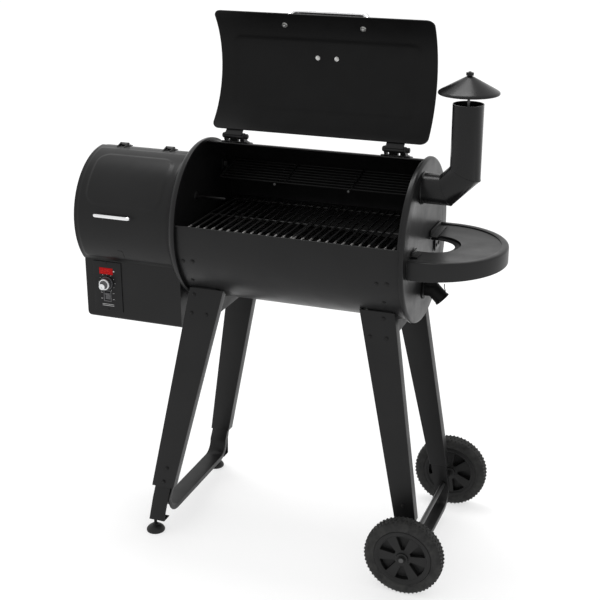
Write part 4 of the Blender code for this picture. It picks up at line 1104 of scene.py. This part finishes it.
def chimney():
    """Elbowed pipe with its seams, a collar at its foot, and the cap on its stud."""
    (x, y), low = CHIMNEY_FOOT, CHIMNEY_SPOT[1]
    corners = [(x - 0.042, y, low), (x, y, low + 0.042)]
    path = [(0.274, y, low), *corners, (x, y, 1.1515)]
    piece("chimney_tube", pipe(path, 0.035, 0.033, 96), "chimney_paint", "chimney_pipe")
    long, short = 0.924, 0.383
    seams = []
    for spot, way in zip(corners, ((long, 0, short), (short, 0, long))):
        ring = turned([(0.0345, -0.001), (0.0356, -0.0006), (0.0356, 0.0006), (0.0345, 0.001)], "z",
                      (0, 0), 96)
        bmesh.ops.scale(ring, vec=(1 / long, 1, 1), verts=ring.verts)
        seams.append(moved_to(ring, spot, way))
    piece("chimney_seams", seams, "chimney_paint")
    collar = [(0.0352, CAP_FACE), (0.0385, CAP_FACE), (0.0385, 0.287), (0.0368, 0.2876), (0.0352, 0.289)]
    piece("chimney_collar", turned(collar, "x", CHIMNEY_SPOT, 72), "chimney_paint")
    refined("chimney_cap_stud", "pin_steel", 0.0003)
    rim, base, top = 0.0685, 1.178, 1.214
    profile = [(0.0036, top), (0.01, top - 0.0032), (rim - 0.005, base + 0.0036),
               (rim - 0.0012, base + 0.001), (rim, base - 0.0006), (rim, base - 0.0034),
               (rim - 0.0006, base - 0.004), (rim - 0.0014, base - 0.0034),
               (rim - 0.0015, base - 0.0012), (rim - 0.0055, base + 0.001), (0.0036, top - 0.002)]
    piece("chimney_hood", turned(profile, "z", CHIMNEY_FOOT, 128), "chimney_paint", "chimney_cap",
          body="chimney_cap")
    nut = rounded(disc("z", CHIMNEY_FOOT, 0.0086, top + 0.0002, 1.2206, 6), 0.0005)
    nut = cut(nut, disc("z", CHIMNEY_FOOT, 0.0034, 1.2, 1.23, 24))
    bolted("chimney_hood_nut", [nut], "chimney_cap")


def drain():
    # The spout, its lip and its collar take the darker spout paint, which is painted shade.
    end = (0.3325, 0, 0.67)
    path = [(0.252, 0, DRAIN_Z), (0.3085, 0, DRAIN_Z), end]
    spout = cut(pipe(path, 0.018, 0.016, 64), block((0.24, -0.03, DRAIN_Z), (0.28, 0.03, 0.724)))
    piece("spout_tube", spout, "spout_paint", "drain_spout")
    lip = [(0.0181, -0.005), (0.019, -0.0046), (0.0194, -0.0025), (0.019, -0.0004), (0.0181, 0)]
    piece("spout_lip", moved_to(turned(lip, "z", (0, 0), 64), end, (1, 0, -1)), "spout_paint")
    hook = smooth_path([(0.333, 0, 0.6835), (0.3385, 0, 0.691), (0.335, 0, 0.701), (0.335, 0, 0.71)],
                       0.003, 5)
    bolted("bucket_hook", [pipe(hook, 0.0011, steps=10)])
    root = [(0.0182, CAP_FACE), (0.0262, CAP_FACE), (0.0262, 0.2873), (0.02, 0.2879), (0.0182, 0.2895)]
    piece("spout_collar", turned(root, "x", (0, DRAIN_Z), 56), "spout_paint")


for build in (studio, barrel, end_caps, barrel_lid, hinges, grates, fittings, hopper, controls, legs,
              levelling_feet, wheels, side_shelf, chimney, drain):
    build()
